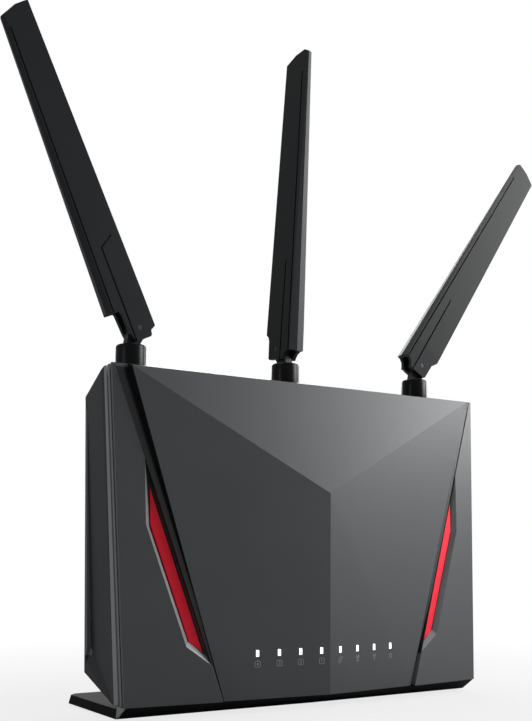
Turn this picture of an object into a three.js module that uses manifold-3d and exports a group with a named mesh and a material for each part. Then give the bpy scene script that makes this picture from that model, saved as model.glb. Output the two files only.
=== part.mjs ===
// Wireless router that stands upright on a flat base, with three blade antennas that swivel and tilt.
// Millimetres, +Z up, +X to the right as seen from the front, -Y towards the viewer.
// The origin is the middle of the underside of the base plate.
import * as THREE from "three";
import { ConvexGeometry } from "three/addons/geometries/ConvexGeometry.js";
import { mergeVertices } from "three/addons/utils/BufferGeometryUtils.js";
import Module from "manifold-3d";

const wasm = await Module();
wasm.setup();

// ---------------------------------------------------------------- driving dimensions

const body = {
  height: 160, // top edge of the front panel
  bottom: 5.8, // lower edge of the front panel
  topWidth: 220,
  bottomWidth: 206.6,
  topFront: -35.3, // y of the front panel's rim at its top edge
  bottomFront: -40, // y of the front panel's rim at its lower edge
  wall: 2.2, // rear shell
};
const gap = { seat: 0.3, slide: 0.3, window: 0.15, pin: 0.08, thread: 0.1 };

const panel = {
  rim: 1.6, // thickness of the flat rim
  wall: 2.6, // thickness of the raised middle
  ridgeProud: 11.4, // how far the apex stands in front of the lower rim
  ridgeDrop: 56.8, // apex below the top edge
  ridgeLean: 1.6, // how far the ridge falls back at its foot
  crownInset: 7.9, // raised middle's upper corner, in from the side
  crownProud: 4.7,
  crownDrop: 1.2,
  footHalf: 55.4, // raised middle's lower corner, from the centre
  footProud: 3.9,
  wingGapTop: 6.6, // dark channel between the raised middle and the wing
  wingGapFoot: 1.4,
  wingFootProud: 5.6,
  topBar: 5.5, // solid strip along the top, where the pegs stand
  pegWidth: 7,
  pegLength: 5.2,
};
const accent = {
  tip: 116.9, // heights of the recess corners
  side: 86.5,
  low: 31.3,
  end: 22.5,
  sideWidth: 9.7,
  lowWidth: 9.2,
  border: 2.8, // sloped wall between the recess edge and the insert
  depth: 3.2,
  inset: 1.9, // insert's face below the wing
  thickness: 1,
};
const frameRing = { front: 3.3, back: 5.4, inset: 0.15, band: 8, skirtInset: 3.7, skirt: 1.4, skirtBack: 11 };
const shell = {
  front: 8.6, // behind the rim plane
  bevelInset: 0.8,
  topFlat: 9.8, // level stretch of the top, behind the rim plane
  shoulderRun: 2.8,
  shoulderDrop: 1.4,
  topRear: 11.5, // rear edge below the top
  rearLean: 2.2,
  leanFrom: 48,
  bottomRear: 17.9,
  underMid: [-15, 11],
  underFront: [-28.5, 5.4],
  flare: 2.1, // rear flange beyond the side wall, near its foot
  flareTop: 30,
  flareFoot: 24,
  flareDepth: 2.9,
};
const base = {
  thickness: 4.2,
  halfWidth: 103.4,
  front: -31,
  rear: 31.5,
  sideDraft: 0.9,
  cornerCut: 3.5,
  chinBulge: 2.3,
  pedestalHalf: 72,
  pedestalRear: -5,
  footRadius: 6,
  footProud: 0.8,
  footPocket: 1.2,
  footX: 88,
  footY: 20,
  screwX: 50,
  screwY: -18,
};
const board = { front: -21, thickness: 1.6, sideClear: 11.3, bottom: 19, topClear: 28 };
const lamp = { count: 8, pitch: 11.35, centre: 1, height: 26.9, width: 1.45, tall: 2.9, barDepth: 2.4, bump: 0.8 };
const port = {
  floor: 21, // underside of the sockets
  recess: 0.2, // sockets' faces behind the outer wall
  jackWidth: 15.6,
  jackPitch: 14.2,
  jackHeight: 14,
  plugWidth: 11.8,
  plugHeight: 8.4,
  plugDepth: 14.5,
  latchWidth: 6,
  latchDepth: 2.4,
  lanCentre: -31,
  wanCentre: -77,
  usbWidth: 14.2,
  usbHeight: 7,
  usbSkin: 0.7,
  usbDepth: 11,
  usb3Centre: 42,
  usb2Centre: 23.5,
  dcCentre: 60,
  dcWidth: 10,
  dcBore: 3.2,
  dcPin: 1.05,
};
const button = {
  radius: 4.2,
  proud: 1.2,
  flange: 1,
  travel: 1.2,
  stem: 2,
  powerX: 76,
  ledX: 91,
  resetX: 10.5,
  sideLong: 12,
  sideTall: 6,
  sideY: -13,
  sideHeights: [72, 92],
};
const vent = { slot: 2.4, pitch: 6, length: 62, inner: 13, from: 58, count: 11, roofRows: 3, roofPitch: 4.2 };
const screw = { shaft: 1.4, head: 2.7, headHeight: 1.8, boss: 3.4 };
const fixing = { sideInset: 5.8, low: 50, highDrop: 29, boardInset: 6 };

const antenna = {
  spacing: 89.7, // side antennas from the middle one
  y: -10.2,
  seatDrop: 3.4, // boss top below the body's top edge
  bossRim: 0.7, // boss round the collar's foot
  bossDepth: 9.8,
  collarRadius: 7.5,
  collarLift: 0.6,
  collarHeight: 17.4,
  collarChamfer: 0.9,
  jackRadius: 3.15,
  jackHeight: 9.4, // threaded barrel above the boss
  jackFlange: 5.2,
  flangeRadius: 5.8,
  flangeHeight: 2,
  stemRadius: 4.2,
  pinHeight: 26.6, // above the boss
  pinOffset: 2.73,
  pinRadius: 1.25,
  knuckleRadius: 5.2,
  knuckleHalf: 2.25,
};
const blade = {
  long: 161.8, // pin to tip on the longer edge
  short: 156.8,
  tipCrown: 1.1,
  openEdge: 12.14, // pin to the edge that the fork opens on
  openEdgeTop: 6.62,
  cheekEdge: 8, // pin to the other edge
  cheekEdgeTop: 8.3,
  taperOver: 150,
  half: 4.95, // half thickness at the pin
  halfTop: 2.65,
  ridge: 0.7, // edge faces rise to a low ridge
  level: 11, // the thickness is even below this
  cheek: 5.8, // pin to the fork's foot
  slotRoof: 9,
  cavity: 1,
  seam: 0.1, // half the gap between the two halves
  groove: 0.9,
  grooveDepth: 0.5,
  creaseTop: 47,
  creaseTurn: 41.9,
  board: 0.8,
  boardWidth: 10.5,
  boardFrom: 16,
  boardTo: 142,
};
const stations = [
  { side: "left", x: -antenna.spacing, swivel: 2, tilt: -24.8, longEdge: "cheek", crease: "angled" },
  { side: "middle", x: 0, swivel: 96, tilt: -6, longEdge: "open", crease: "straight" },
  { side: "right", x: antenna.spacing, swivel: -3, tilt: 33, longEdge: "open", crease: "straight" },
];

// ---------------------------------------------------------------- finishes

const finish = {
  satin: { color: 0x3b3e40, roughness: 0.42, metalness: 0 },
  shellPlastic: { color: 0x35383a, roughness: 0.5, metalness: 0 },
  trim: { color: 0x5c6062, roughness: 0.4, metalness: 0 },
  red: { color: 0x9c1f26, roughness: 0.35, metalness: 0.2 },
  gloss: { color: 0x121314, roughness: 0.22, metalness: 0 },
  bladePlastic: { color: 0x3f4244, roughness: 0.48, metalness: 0 },
  rubber: { color: 0x1c1c1d, roughness: 0.85, metalness: 0 },
  clear: { color: 0xf2f5f6, roughness: 0.25, metalness: 0 },
  circuit: { color: 0x1d3d2a, roughness: 0.55, metalness: 0 },
  plated: { color: 0xb9bcbe, roughness: 0.3, metalness: 0.9 },
  brass: { color: 0xb08c45, roughness: 0.3, metalness: 0.9 },
  aluminium: { color: 0xa3a6a8, roughness: 0.45, metalness: 0.8 },
  steel: { color: 0x4a4c4e, roughness: 0.35, metalness: 0.9 },
  blackPart: { color: 0x17181a, roughness: 0.55, metalness: 0 },
  bluePort: { color: 0x1f4f9e, roughness: 0.45, metalness: 0 },
};

// ---------------------------------------------------------------- solid helpers

function signedVolume(points, index) {
  let sum = 0;
  const [a, b, c] = [new THREE.Vector3(), new THREE.Vector3(), new THREE.Vector3()];
  for (let i = 0; i < index.length; i += 3) {
    a.fromArray(points, index[i] * 3);
    b.fromArray(points, index[i + 1] * 3);
    c.fromArray(points, index[i + 2] * 3);
    sum += a.dot(b.cross(c));
  }
  return sum / 6;
}

function solid(geometry) {
  const bare = geometry.clone();
  bare.deleteAttribute("normal");
  bare.deleteAttribute("uv");
  const welded = mergeVertices(bare, 1e-4);
  const points = welded.attributes.position.array;
  const index = [];
  for (let i = 0; i < welded.index.count; i += 3) {
    const [a, b, c] = [0, 1, 2].map((k) => welded.index.getX(i + k));
    if (a !== b && b !== c && c !== a) index.push(a, b, c);
  }
  if (signedVolume(points, index) < 0) index.reverse();
  const mesh = new wasm.Mesh({
    numProp: 3,
    vertProperties: Float32Array.from(points),
    triVerts: Uint32Array.from(index),
  });
  return new wasm.Manifold(mesh);
}

function hull(points) {
  return solid(new ConvexGeometry(points.map((p) => new THREE.Vector3(...p))));
}

function block([x0, x1], [y0, y1], [z0, z1]) {
  const geometry = new THREE.BoxGeometry(x1 - x0, y1 - y0, z1 - z0);
  return solid(geometry.translate((x0 + x1) / 2, (y0 + y1) / 2, (z0 + z1) / 2));
}

// A rod along one axis, from one coordinate to another, round a centre given in the other two.
function rod(axis, radius, from, to, [u, v], sides = 24) {
  const geometry = new THREE.CylinderGeometry(radius, radius, to - from, sides);
  const middle = (from + to) / 2;
  if (axis === "x") geometry.rotateZ(-Math.PI / 2).translate(middle, u, v);
  if (axis === "y") geometry.translate(u, middle, v);
  if (axis === "z") geometry.rotateX(Math.PI / 2).translate(u, v, middle);
  return solid(geometry);
}

// A turned part about a vertical axis: profile points are [radius, height], starting and ending on it.
function turned(profile, sides = 36) {
  const geometry = new THREE.LatheGeometry(profile.map(([r, z]) => new THREE.Vector2(r, z)), sides);
  return solid(geometry.rotateX(Math.PI / 2));
}

// An outline in the XZ plane, extruded along Y.
function plateXZ(outline, y0, y1) {
  const shape = new THREE.Shape(outline.map(([x, z]) => new THREE.Vector2(x, z)));
  const geometry = new THREE.ExtrudeGeometry(shape, { depth: y1 - y0, bevelEnabled: false });
  return solid(geometry.rotateX(Math.PI / 2).translate(0, y1, 0));
}

function mirrored(points) {
  return points.flatMap(([x, y, z]) => [[x, y, z], [-x, y, z]]);
}

function join(...solids) {
  return solids.flat().reduce((sum, next) => sum.add(next));
}

function cut(from, ...tools) {
  return tools.flat().reduce((rest, tool) => rest.subtract(tool), from);
}

const root = new THREE.Group();

function place(name, manifold, look, parent = root) {
  const mesh = manifold.getMesh();
  const geometry = new THREE.BufferGeometry();
  geometry.setAttribute("position", new THREE.BufferAttribute(Float32Array.from(mesh.vertProperties), 3));
  geometry.setIndex(Array.from(mesh.triVerts));
  const faceted = geometry.toNonIndexed();
  faceted.computeVertexNormals();
  const node = new THREE.Mesh(faceted, new THREE.MeshStandardMaterial(look));
  node.name = name;
  parent.add(node);
  return node;
}

// ---------------------------------------------------------------- body surfaces

const mix = (a, b, t) => a + (b - a) * t;
const share = (z) => (z - body.bottom) / (body.height - body.bottom);
const rimY = (z) => mix(body.bottomFront, body.topFront, share(z));
const halfWidth = (z) => mix(body.bottomWidth, body.topWidth, share(z)) / 2;

const crown = [
  body.topWidth / 2 - panel.crownInset,
  body.topFront - panel.crownProud,
  body.height - panel.crownDrop,
];
const apex = [0, body.bottomFront - panel.ridgeProud, body.height - panel.ridgeDrop];
const keel = [0, apex[1] + panel.ridgeLean, body.bottom];
const heel = [panel.footHalf, body.bottomFront - panel.footProud, body.bottom];
const wingTop = [crown[0] + panel.wingGapTop, body.topFront - 0.2, body.height - 0.6];
const wingFoot = [panel.footHalf + panel.wingGapFoot, body.bottomFront - panel.wingFootProud, body.bottom];

// Height of the wing's face, from the flat plane through its upper edge and lower outer corner.
const wingPlane = new THREE.Plane().setFromCoplanarPoints(
  new THREE.Vector3(...wingFoot),
  new THREE.Vector3(halfWidth(body.bottom), rimY(body.bottom), body.bottom),
  new THREE.Vector3(halfWidth(body.height), rimY(body.height), body.height),
);
function wingY(x, z) {
  const n = wingPlane.normal;
  return -(n.x * x + n.z * z + wingPlane.constant) / n.y;
}
function channelX(z) {
  return mix(wingFoot[0], wingTop[0], (z - wingFoot[2]) / (wingTop[2] - wingFoot[2]));
}

function rimSlab(front, back, inset) {
  const [low, high] = [body.bottom + inset, body.height - inset];
  const corners = [low, high].flatMap((z) => [front, back].map((d) => [halfWidth(z) - inset, rimY(z) + d, z]));
  return hull(mirrored(corners));
}

function behind(points, depth) {
  return points.map(([x, , z]) => [x, rimY(z) + depth, z]);
}

const recess = [
  [channelX(accent.tip), accent.tip],
  [channelX(accent.side) + accent.sideWidth, accent.side],
  [channelX(accent.low) + accent.lowWidth, accent.low],
  [channelX(accent.end), accent.end],
];
const insert = [
  [channelX(accent.tip - 12.9) + 1.2, accent.tip - 12.9],
  [recess[1][0] - accent.border, accent.side],
  [recess[2][0] - accent.border + 0.6, accent.low + 1.7],
  [channelX(accent.end + 5.6) + 1.3, accent.end + 5.6],
];

function onWing(outline, depth, side) {
  return outline.map(([x, z]) => [side * x, wingY(x, z) + depth, z]);
}

function lampPlaces() {
  return Array.from({ length: lamp.count }, (_, i) => lamp.centre + (i - (lamp.count - 1) / 2) * lamp.pitch);
}

const pegPlaces = [
  [-60, body.height - 4],
  [0, body.height - 4],
  [60, body.height - 4],
  [-82, body.bottom + 4.5],
  [82, body.bottom + 4.5],
];

function frontPanel() {
  const raised = hull(
    mirrored([
      apex,
      keel,
      crown,
      heel,
      [crown[0], body.topFront, body.height],
      ...behind([keel, crown, heel], 1),
    ]),
  );
  const hollow = hull(
    mirrored([
      [0, apex[1] + panel.wall + 0.2, apex[2]],
      [0, keel[1] + panel.wall + 0.2, keel[2] + panel.wall],
      [crown[0] - 3.4, crown[1] + panel.wall, crown[2] - panel.topBar],
      [heel[0] - 3.2, heel[1] + panel.wall, heel[2] + panel.wall],
      ...behind([[0, 0, keel[2] + panel.wall]], 12),
      ...behind([[heel[0] - 3.2, 0, heel[2] + panel.wall]], 12),
      ...behind([[crown[0] - 3.4, 0, crown[2] - panel.topBar]], 12),
    ]),
  );
  const wings = [-1, 1].map((side) => {
    const edge = [
      wingTop,
      wingFoot,
      [halfWidth(body.bottom), rimY(body.bottom), body.bottom],
      [halfWidth(body.height), rimY(body.height), body.height],
    ];
    const points = [...edge, ...behind(edge, 1)].map(([x, y, z]) => [side * x, y, z]);
    const floor = insert.map(([x, z], i) => [x + (i === 0 || i === 3 ? -0.5 : 0.4), z + (i < 2 ? 0.4 : -0.4)]);
    const pocket = hull([
      ...onWing(recess, 0, side),
      ...onWing(recess, -12, side),
      ...onWing(floor, accent.depth, side),
      ...onWing(floor, -12, side),
    ]);
    return { wing: hull(points), pocket };
  });
  const lip = rimSlab(0, panel.rim, 0);
  const pegs = pegPlaces.map(([x, z]) => {
    const y = rimY(z);
    const half = panel.pegWidth / 2;
    return block([x - half, x + half], [y + 0.6, y + panel.rim + panel.pegLength], [z - 0.9, z + 0.9]);
  });
  const windows = lampPlaces().map((x) => {
    const [w, h] = [lamp.width / 2 + gap.window, lamp.tall / 2 + gap.window];
    return block([x - w, x + w], [apex[1] - 5, body.bottomFront + 4], [lamp.height - h, lamp.height + h]);
  });
  const skin = cut(join(lip, raised, ...wings.map((w) => w.wing)), hollow, ...wings.map((w) => w.pocket));
  return cut(join(skin, ...pegs), ...windows);
}

function accentInsert(side) {
  const front = onWing(insert, accent.inset, side);
  const back = onWing(insert, accent.inset + accent.thickness, side);
  return hull([...front, ...back]);
}

// ---------------------------------------------------------------- middle frame

const boardHalf = body.bottomWidth / 2 - board.sideClear;
const fixingX = body.bottomWidth / 2 - fixing.sideInset;
const fixings = [fixing.low, body.height - fixing.highDrop].flatMap((z) => [-1, 1].map((s) => [s * fixingX, z]));
const boardFixings = fixings.map(([x, z]) => [Math.sign(x) * (boardHalf - fixing.boardInset), z]);
const postEnd = -9.5;

function middleFrame() {
  const ring = rimSlab(frameRing.front, frameRing.back, frameRing.inset);
  const window = rimSlab(-2, 20, frameRing.inset + frameRing.band);
  const skirt = cut(
    rimSlab(frameRing.back - 0.5, frameRing.skirtBack, frameRing.skirtInset),
    rimSlab(-2, 30, frameRing.skirtInset + frameRing.skirt),
  );
  const ribs = [fixing.low, body.height - fixing.highDrop].map((z) => {
    const half = halfWidth(z) - frameRing.inset - frameRing.band + 1;
    const y = rimY(z);
    return block([-half, half], [y + frameRing.front + 0.3, y + frameRing.back], [z - 3.5, z + 3.5]);
  });
  const posts = fixings.map(([x, z]) => rod("y", screw.boss, rimY(z) + frameRing.back - 1, postEnd, [x, z], 16));
  const pillars = boardFixings.map(([x, z]) =>
    rod("y", 2.8, rimY(z) + frameRing.back - 1, board.front - gap.seat, [x, z], 16),
  );
  const bores = [
    ...fixings.map(([x, z]) => rod("y", screw.shaft + gap.thread, postEnd - 10, 0, [x, z], 12)),
    ...boardFixings.map(([x, z]) => rod("y", screw.shaft + gap.thread, board.front - 7, 0, [x, z], 12)),
  ];
  const slots = pegPlaces.map(([x, z]) => {
    const half = panel.pegWidth / 2 + gap.seat;
    return block([x - half, x + half], [rimY(z) - 2, rimY(z) + 20], [z - 0.9 - gap.seat, z + 0.9 + gap.seat]);
  });
  return cut(join(cut(ring, window), skirt, ribs, posts, pillars), ...bores, ...slots);
}

// ---------------------------------------------------------------- rear shell

const roof = {
  flatEnd: body.topFront + shell.topFlat,
  shoulder: body.topFront + shell.topFlat + shell.shoulderRun,
  rearZ: body.height - shell.topRear,
};
const roofSlope =
  (body.height - shell.shoulderDrop - roof.rearZ) / (-shell.rearLean - roof.shoulder);
const roofZ = (y) => body.height - shell.shoulderDrop - (y - roof.shoulder) * roofSlope;
const bossTop = body.height - antenna.seatDrop;
const bossRadius = antenna.collarRadius + antenna.bossRim;

// Outer skin, or the inner one when it is drawn in by a wall.
function shellSkin(wall) {
  const side = (z) => halfWidth(z) - wall;
  const [high, low] = [body.height - wall, shell.underFront[1] + wall];
  const lead = wall ? shell.front - 10 : shell.front;
  const rows = [
    [body.bottom + 0.6 + wall, lead, shell.bevelInset],
    [body.height - wall, lead, shell.bevelInset],
    [body.bottom + 0.6 + wall, shell.front + 0.01, shell.bevelInset],
    [body.height - wall, shell.front + 0.01, shell.bevelInset],
  ].map(([z, d, inset]) => [side(z) - inset, rimY(z) + d, z]);
  const rest = [
    [side(high) - shell.bevelInset * 0.4, roof.flatEnd, high],
    [side(high), roof.shoulder - wall * 0.3, body.height - shell.shoulderDrop - wall],
    [side(roof.rearZ), -shell.rearLean - wall, roof.rearZ - wall * 0.8],
    [side(shell.leanFrom), -wall, shell.leanFrom],
    [side(shell.bottomRear), -wall, shell.bottomRear + wall * 0.5],
    [side(shell.underMid[1]), shell.underMid[0], shell.underMid[1] + wall * 1.1],
    [side(low), shell.underFront[0], low],
  ];
  return hull(mirrored([...rows, ...rest]));
}

function rearFlange() {
  const top = body.height - shell.topRear - 1;
  const wide = halfWidth(shell.flareTop) + shell.flare;
  const step = [
    [halfWidth(top), -shell.rearLean - 2.4, top],
    [halfWidth(top), -shell.rearLean - 0.1, top],
    [wide, -shell.flareDepth, shell.flareTop],
    [wide, 0, shell.flareFoot],
    [wide, 0, shell.leanFrom],
    [wide, 0, shell.bottomRear],
  ];
  const heelFlat = [
    [halfWidth(shell.flareTop), -shell.flareDepth, shell.flareTop],
    [wide, 0, shell.flareFoot],
    [wide, 0, shell.bottomRear],
    [halfWidth(shell.underFront[1]), ...shell.underFront],
  ];
  return [step, heelFlat].flatMap((points) => {
    const inner = points.map(([x, y, z]) => [x - 3, y, z]);
    return [-1, 1].map((s) => hull([...points, ...inner].map(([x, y, z]) => [s * x, y, z])));
  });
}

function socketHole(centre, width, height, floor) {
  const [w, c] = [width / 2 + gap.seat, gap.seat];
  return block([centre - w, centre + w], [-6, 4], [floor - c, floor + height + c]);
}

const portMiddle = port.floor + port.jackHeight / 2;
const lanWidth = port.jackPitch * 3 + port.jackWidth;
const usbFloor = portMiddle - port.usbHeight / 2;
const dcFloor = portMiddle - port.dcWidth / 2;

function rearShell() {
  const inner = shellSkin(body.wall);
  const bosses = fixings.map(([x, z]) => rod("y", screw.boss, postEnd + gap.seat, -1, [x, z], 16));
  const seats = stations.map(({ x }) => {
    const upper = rod("z", bossRadius, bossTop - 4, bossTop, [x, antenna.y], 36);
    const lower = rod("z", bossRadius, bossTop - antenna.bossDepth, bossTop - 3, [x, antenna.y], 36);
    return join(upper, lower.intersect(shellSkin(0)));
  });
  const standBosses = [-1, 1].map((s) => rod("z", 3.6, 8, 19, [s * base.screwX, base.screwY], 16));
  const outer = join(shellSkin(0), ...rearFlange());
  const tub = join(cut(outer, inner), bosses, seats);
  const niches = stations.map(({ x }) =>
    rod("z", bossRadius + 0.2, bossTop, body.height + 6, [x, antenna.y], 36),
  );
  const jackHoles = stations.map(({ x }) =>
    rod("z", antenna.jackRadius + 0.25, bossTop - 20, bossTop + 5, [x, antenna.y], 24),
  );
  const screwHoles = fixings.flatMap(([x, z]) => [
    rod("y", screw.shaft + gap.thread, postEnd - 4, 4, [x, z], 12),
    rod("y", screw.head + gap.seat, -3.6, 4, [x, z], 20),
  ]);
  const sockets = [
    socketHole(port.lanCentre, lanWidth, port.jackHeight, port.floor),
    socketHole(port.wanCentre, port.jackWidth, port.jackHeight, port.floor),
    socketHole(port.usb3Centre, port.usbWidth, port.usbHeight, usbFloor),
    socketHole(port.usb2Centre, port.usbWidth, port.usbHeight, usbFloor),
    socketHole(port.dcCentre, port.dcWidth, port.dcWidth, dcFloor),
  ];
  const pushHoles = [button.powerX, button.ledX].map((x) =>
    rod("y", button.radius + gap.slide, -6, 4, [x, portMiddle], 28),
  );
  const resetHole = rod("y", 1.1, -6, 4, [button.resetX, portMiddle], 16);
  const sideHoles = button.sideHeights.map((z) => {
    const [l, t] = [button.sideLong / 2 + gap.slide, button.sideTall / 2 + gap.slide];
    const x = halfWidth(z);
    return block([x - 6, x + 4], [button.sideY - l, button.sideY + l], [z - t, z + t]);
  });
  const slots = Array.from({ length: vent.count }, (_, i) => vent.from + i * vent.pitch).flatMap((z) =>
    [-1, 1].map((s) => {
      const ends = [s * vent.inner, s * (vent.inner + vent.length)].sort((a, b) => a - b);
      return block(ends, [-7, 4], [z - vent.slot / 2, z + vent.slot / 2]);
    }),
  );
  const roofSlots = Array.from({ length: vent.roofRows }, (_, i) => roof.shoulder + 3.2 + i * vent.roofPitch);
  const roofCuts = roofSlots.flatMap((y) =>
    [-1, 1].map((s) => {
      const ends = [s * 14, s * (antenna.spacing - 14)].sort((a, b) => a - b);
      return block(ends, [y - 1.1, y + 1.1], [roofZ(y) - 6, body.height + 3]);
    }),
  );
  const standBores = [-1, 1].map((s) => rod("z", screw.shaft + gap.thread, 0, 15, [s * base.screwX, base.screwY], 12));
  return cut(
    join(tub, standBosses.map((b) => b.intersect(shellSkin(0)))),
    niches,
    jackHoles,
    screwHoles,
    sockets,
    pushHoles,
    resetHole,
    sideHoles,
    slots,
    roofCuts,
    standBores,
  );
}

// ---------------------------------------------------------------- base

function baseStand() {
  const t = base.thickness;
  const w = base.halfWidth;
  const d = base.sideDraft;
  const c = base.cornerCut;
  const plate = hull(
    mirrored([
      [w, base.front, 0],
      [w, base.rear - c, 0],
      [w - c, base.rear, 0],
      [w - d, base.front, t],
      [w - d, base.rear - c - d, t],
      [w - c - d, base.rear - d, t],
    ]),
  );
  const lipZ = body.bottom - gap.seat;
  const chin = hull(
    mirrored([
      [halfWidth(body.bottom) - 0.9, body.bottomFront + 0.4, lipZ],
      [panel.footHalf, heel[1] + 0.4, lipZ],
      [0, keel[1] + 0.5, lipZ],
      [w - 0.6, base.front, 0],
      [0, base.front - base.chinBulge, 0],
      [w, base.front + 1, 0],
      [w - d, base.front - 2.4, lipZ],
      [w - d, base.front + 1, 4],
    ]),
  );
  const rest = gap.seat + 0.1;
  const slopeTo = (y) => {
    const [[y0, z0], [y1, z1]] = [shell.underMid, [0, shell.bottomRear]];
    return z0 + ((y - y0) * (z1 - z0)) / (y1 - y0) - rest;
  };
  const underside = [
    [shell.underFront[0] + 1, shell.underFront[1] - rest + 0.25],
    [shell.underMid[0], shell.underMid[1] - rest],
    [base.pedestalRear, slopeTo(base.pedestalRear)],
  ];
  const pedestal = [0, 1].map((i) =>
    hull(
      mirrored(
        underside.slice(i, i + 2).flatMap(([y, z]) => [
          [base.pedestalHalf, y, z],
          [base.pedestalHalf, y, t - 0.5],
        ]),
      ),
    ),
  );
  const pockets = footPlaces.map(([x, y]) => rod("z", base.footRadius + 0.2, -1, base.footPocket, [x, y], 28));
  const screws = [-1, 1].flatMap((s) => [
    rod("z", screw.head + gap.seat, -1, 2.4, [s * base.screwX, base.screwY], 20),
    rod("z", screw.shaft + gap.thread, 1, 20, [s * base.screwX, base.screwY], 16),
  ]);
  return cut(join(plate, chin, ...pedestal), pockets, screws);
}

const footPlaces = [-1, 1].flatMap((sx) => [-1, 1].map((sy) => [sx * base.footX, sy * base.footY]));

function foot([x, y]) {
  const r = base.footRadius;
  const top = base.footPocket - 0.1;
  const profile = [[0, -base.footProud], [r - 0.5, -base.footProud], [r, -base.footProud + 0.5], [r, top], [0, top]];
  return turned(profile, 28).translate([x, y, 0]);
}

// ---------------------------------------------------------------- electronics

const boardBack = board.front + board.thickness;
const boardTop = body.height - board.topClear;

function circuitBoard() {
  const plate = block([-boardHalf, boardHalf], [board.front, boardBack], [board.bottom, boardTop]);
  const holes = boardFixings.map(([x, z]) => rod("y", screw.shaft + 0.4, board.front - 3, boardBack + 3, [x, z], 16));
  const lamps = lampPlaces().map((x) =>
    block([x - 0.8, x + 0.8], [board.front - lamp.bump, board.front + 0.2], [lamp.height - 1, lamp.height + 1]),
  );
  const switchEnd = -1 * (body.wall + 10.3) - button.travel - 0.2;
  const switches = [button.powerX, button.ledX].map((x) =>
    block([x - 3, x + 3], [boardBack - 0.2, switchEnd - gap.seat], [portMiddle - 3, portMiddle + 3]),
  );
  const resetSwitch = block(
    [button.resetX - 2.2, button.resetX + 2.2],
    [boardBack - 0.2, -10],
    [portMiddle - 2.2, portMiddle + 2.2],
  );
  const sideSwitches = button.sideHeights.map((z) =>
    block([boardHalf - 8, boardHalf + 2], [boardBack - 0.2, button.sideY + 3], [z - 2.5, z + 2.5]),
  );
  const chips = [
    [-62, boardTop - 36, 14, 9],
    [58, boardTop - 28, 11, 11],
    [66, 66, 16, 10],
  ].map(([x, z, w, h]) => block([x - w / 2, x + w / 2], [boardBack - 0.2, boardBack + 1.3], [z - h / 2, z + h / 2]));
  const coil = rod("y", 4, boardBack - 0.2, boardBack + 6, [46, 48], 20);
  return cut(join(plate, lamps, switches, resetSwitch, sideSwitches, chips, coil), ...holes);
}

function lightGuide() {
  const back = board.front - lamp.bump - gap.seat;
  const bar = block(
    [lampPlaces()[0] - 3, lampPlaces().at(-1) + 3],
    [back - lamp.barDepth, back],
    [lamp.height - 2.6, lamp.height + 2.6],
  );
  const fingers = lampPlaces().map((x) => {
    const [w, h] = [lamp.width / 2, lamp.tall / 2];
    const fall = (keel[1] - heel[1]) / panel.footHalf;
    const face = (at) => mix(keel[1], apex[1], (lamp.height - keel[2]) / (apex[2] - keel[2])) - Math.abs(at) * fall;
    return hull(
      [x - w, x + w].flatMap((at) =>
        [lamp.height - h, lamp.height + h].flatMap((z) => [
          [at, face(at) + 0.1, z],
          [at, back - 1, z],
        ]),
      ),
    );
  });
  return join(bar, fingers);
}

function plugCavity(x) {
  const [w, h] = [port.plugWidth / 2, port.plugHeight];
  const floor = port.floor + 3.4;
  const latch = port.latchWidth / 2;
  return [
    block([x - w, x + w], [-port.plugDepth, 3], [floor, floor + h]),
    block([x - latch, x + latch], [-port.plugDepth, 3], [floor - port.latchDepth, floor + 1]),
  ];
}

function networkJack(centre, count) {
  const width = port.jackPitch * (count - 1) + port.jackWidth;
  const shellBody = block(
    [centre - width / 2, centre + width / 2],
    [boardBack + gap.seat, -port.recess],
    [port.floor, port.floor + port.jackHeight],
  );
  const cavities = Array.from({ length: count }, (_, i) => centre + (i - (count - 1) / 2) * port.jackPitch);
  return cut(shellBody, ...cavities.flatMap(plugCavity));
}

function usbPort(centre) {
  const [w, h] = [port.usbWidth / 2, port.usbHeight];
  const can = block([centre - w, centre + w], [boardBack + gap.seat, -port.recess], [usbFloor, usbFloor + h]);
  const s = port.usbSkin;
  const mouth = block([centre - w + s, centre + w - s], [-port.usbDepth, 3], [usbFloor + s, usbFloor + h - s]);
  const tongueTop = usbFloor + h - s - 0.6;
  const tongue = block(
    [centre - w + s + 1, centre + w - s - 1],
    [-port.usbDepth - 0.5, -port.recess - 0.9],
    [tongueTop - 1.8, tongueTop],
  );
  return join(cut(can, mouth), tongue);
}

function powerInlet() {
  const w = port.dcWidth / 2;
  const housing = block(
    [port.dcCentre - w, port.dcCentre + w],
    [boardBack + gap.seat, -port.recess],
    [dcFloor, dcFloor + port.dcWidth],
  );
  const bore = rod("y", port.dcBore, -10, 3, [port.dcCentre, portMiddle], 28);
  const pin = rod("y", port.dcPin, -10.5, -port.recess - 1, [port.dcCentre, portMiddle], 16);
  return join(cut(housing, bore), pin);
}

function roundButton(x) {
  const inside = -body.wall - gap.slide;
  const cap = rod("y", button.radius, inside - 1, button.proud, [x, portMiddle], 28);
  const collar = rod("y", button.radius + button.flange, inside - 1.6, inside, [x, portMiddle], 28);
  const stem = rod("y", button.stem, -body.wall - 10.3, inside - 1, [x, portMiddle], 16);
  return join(cap, collar, stem);
}

function resetPlunger() {
  return rod("y", 1.3, -9.7, -6.4, [button.resetX, portMiddle], 16);
}

function sideButton(z) {
  const [l, t] = [button.sideLong / 2, button.sideTall / 2];
  const wallX = halfWidth(z - t);
  const inside = halfWidth(z - t) - body.wall - 0.9;
  const cap = block([inside - 1, wallX + 0.7], [button.sideY - l, button.sideY + l], [z - t, z + t]);
  const collar = block(
    [inside - 1.6, inside],
    [button.sideY - l - 1, button.sideY + l + 1],
    [z - t - 1, z + t + 1],
  );
  const stem = block([boardHalf + 3.2, inside - 1], [button.sideY - 2, button.sideY + 2], [z - 1.5, z + 1.5]);
  return join(cap, collar, stem);
}

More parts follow.
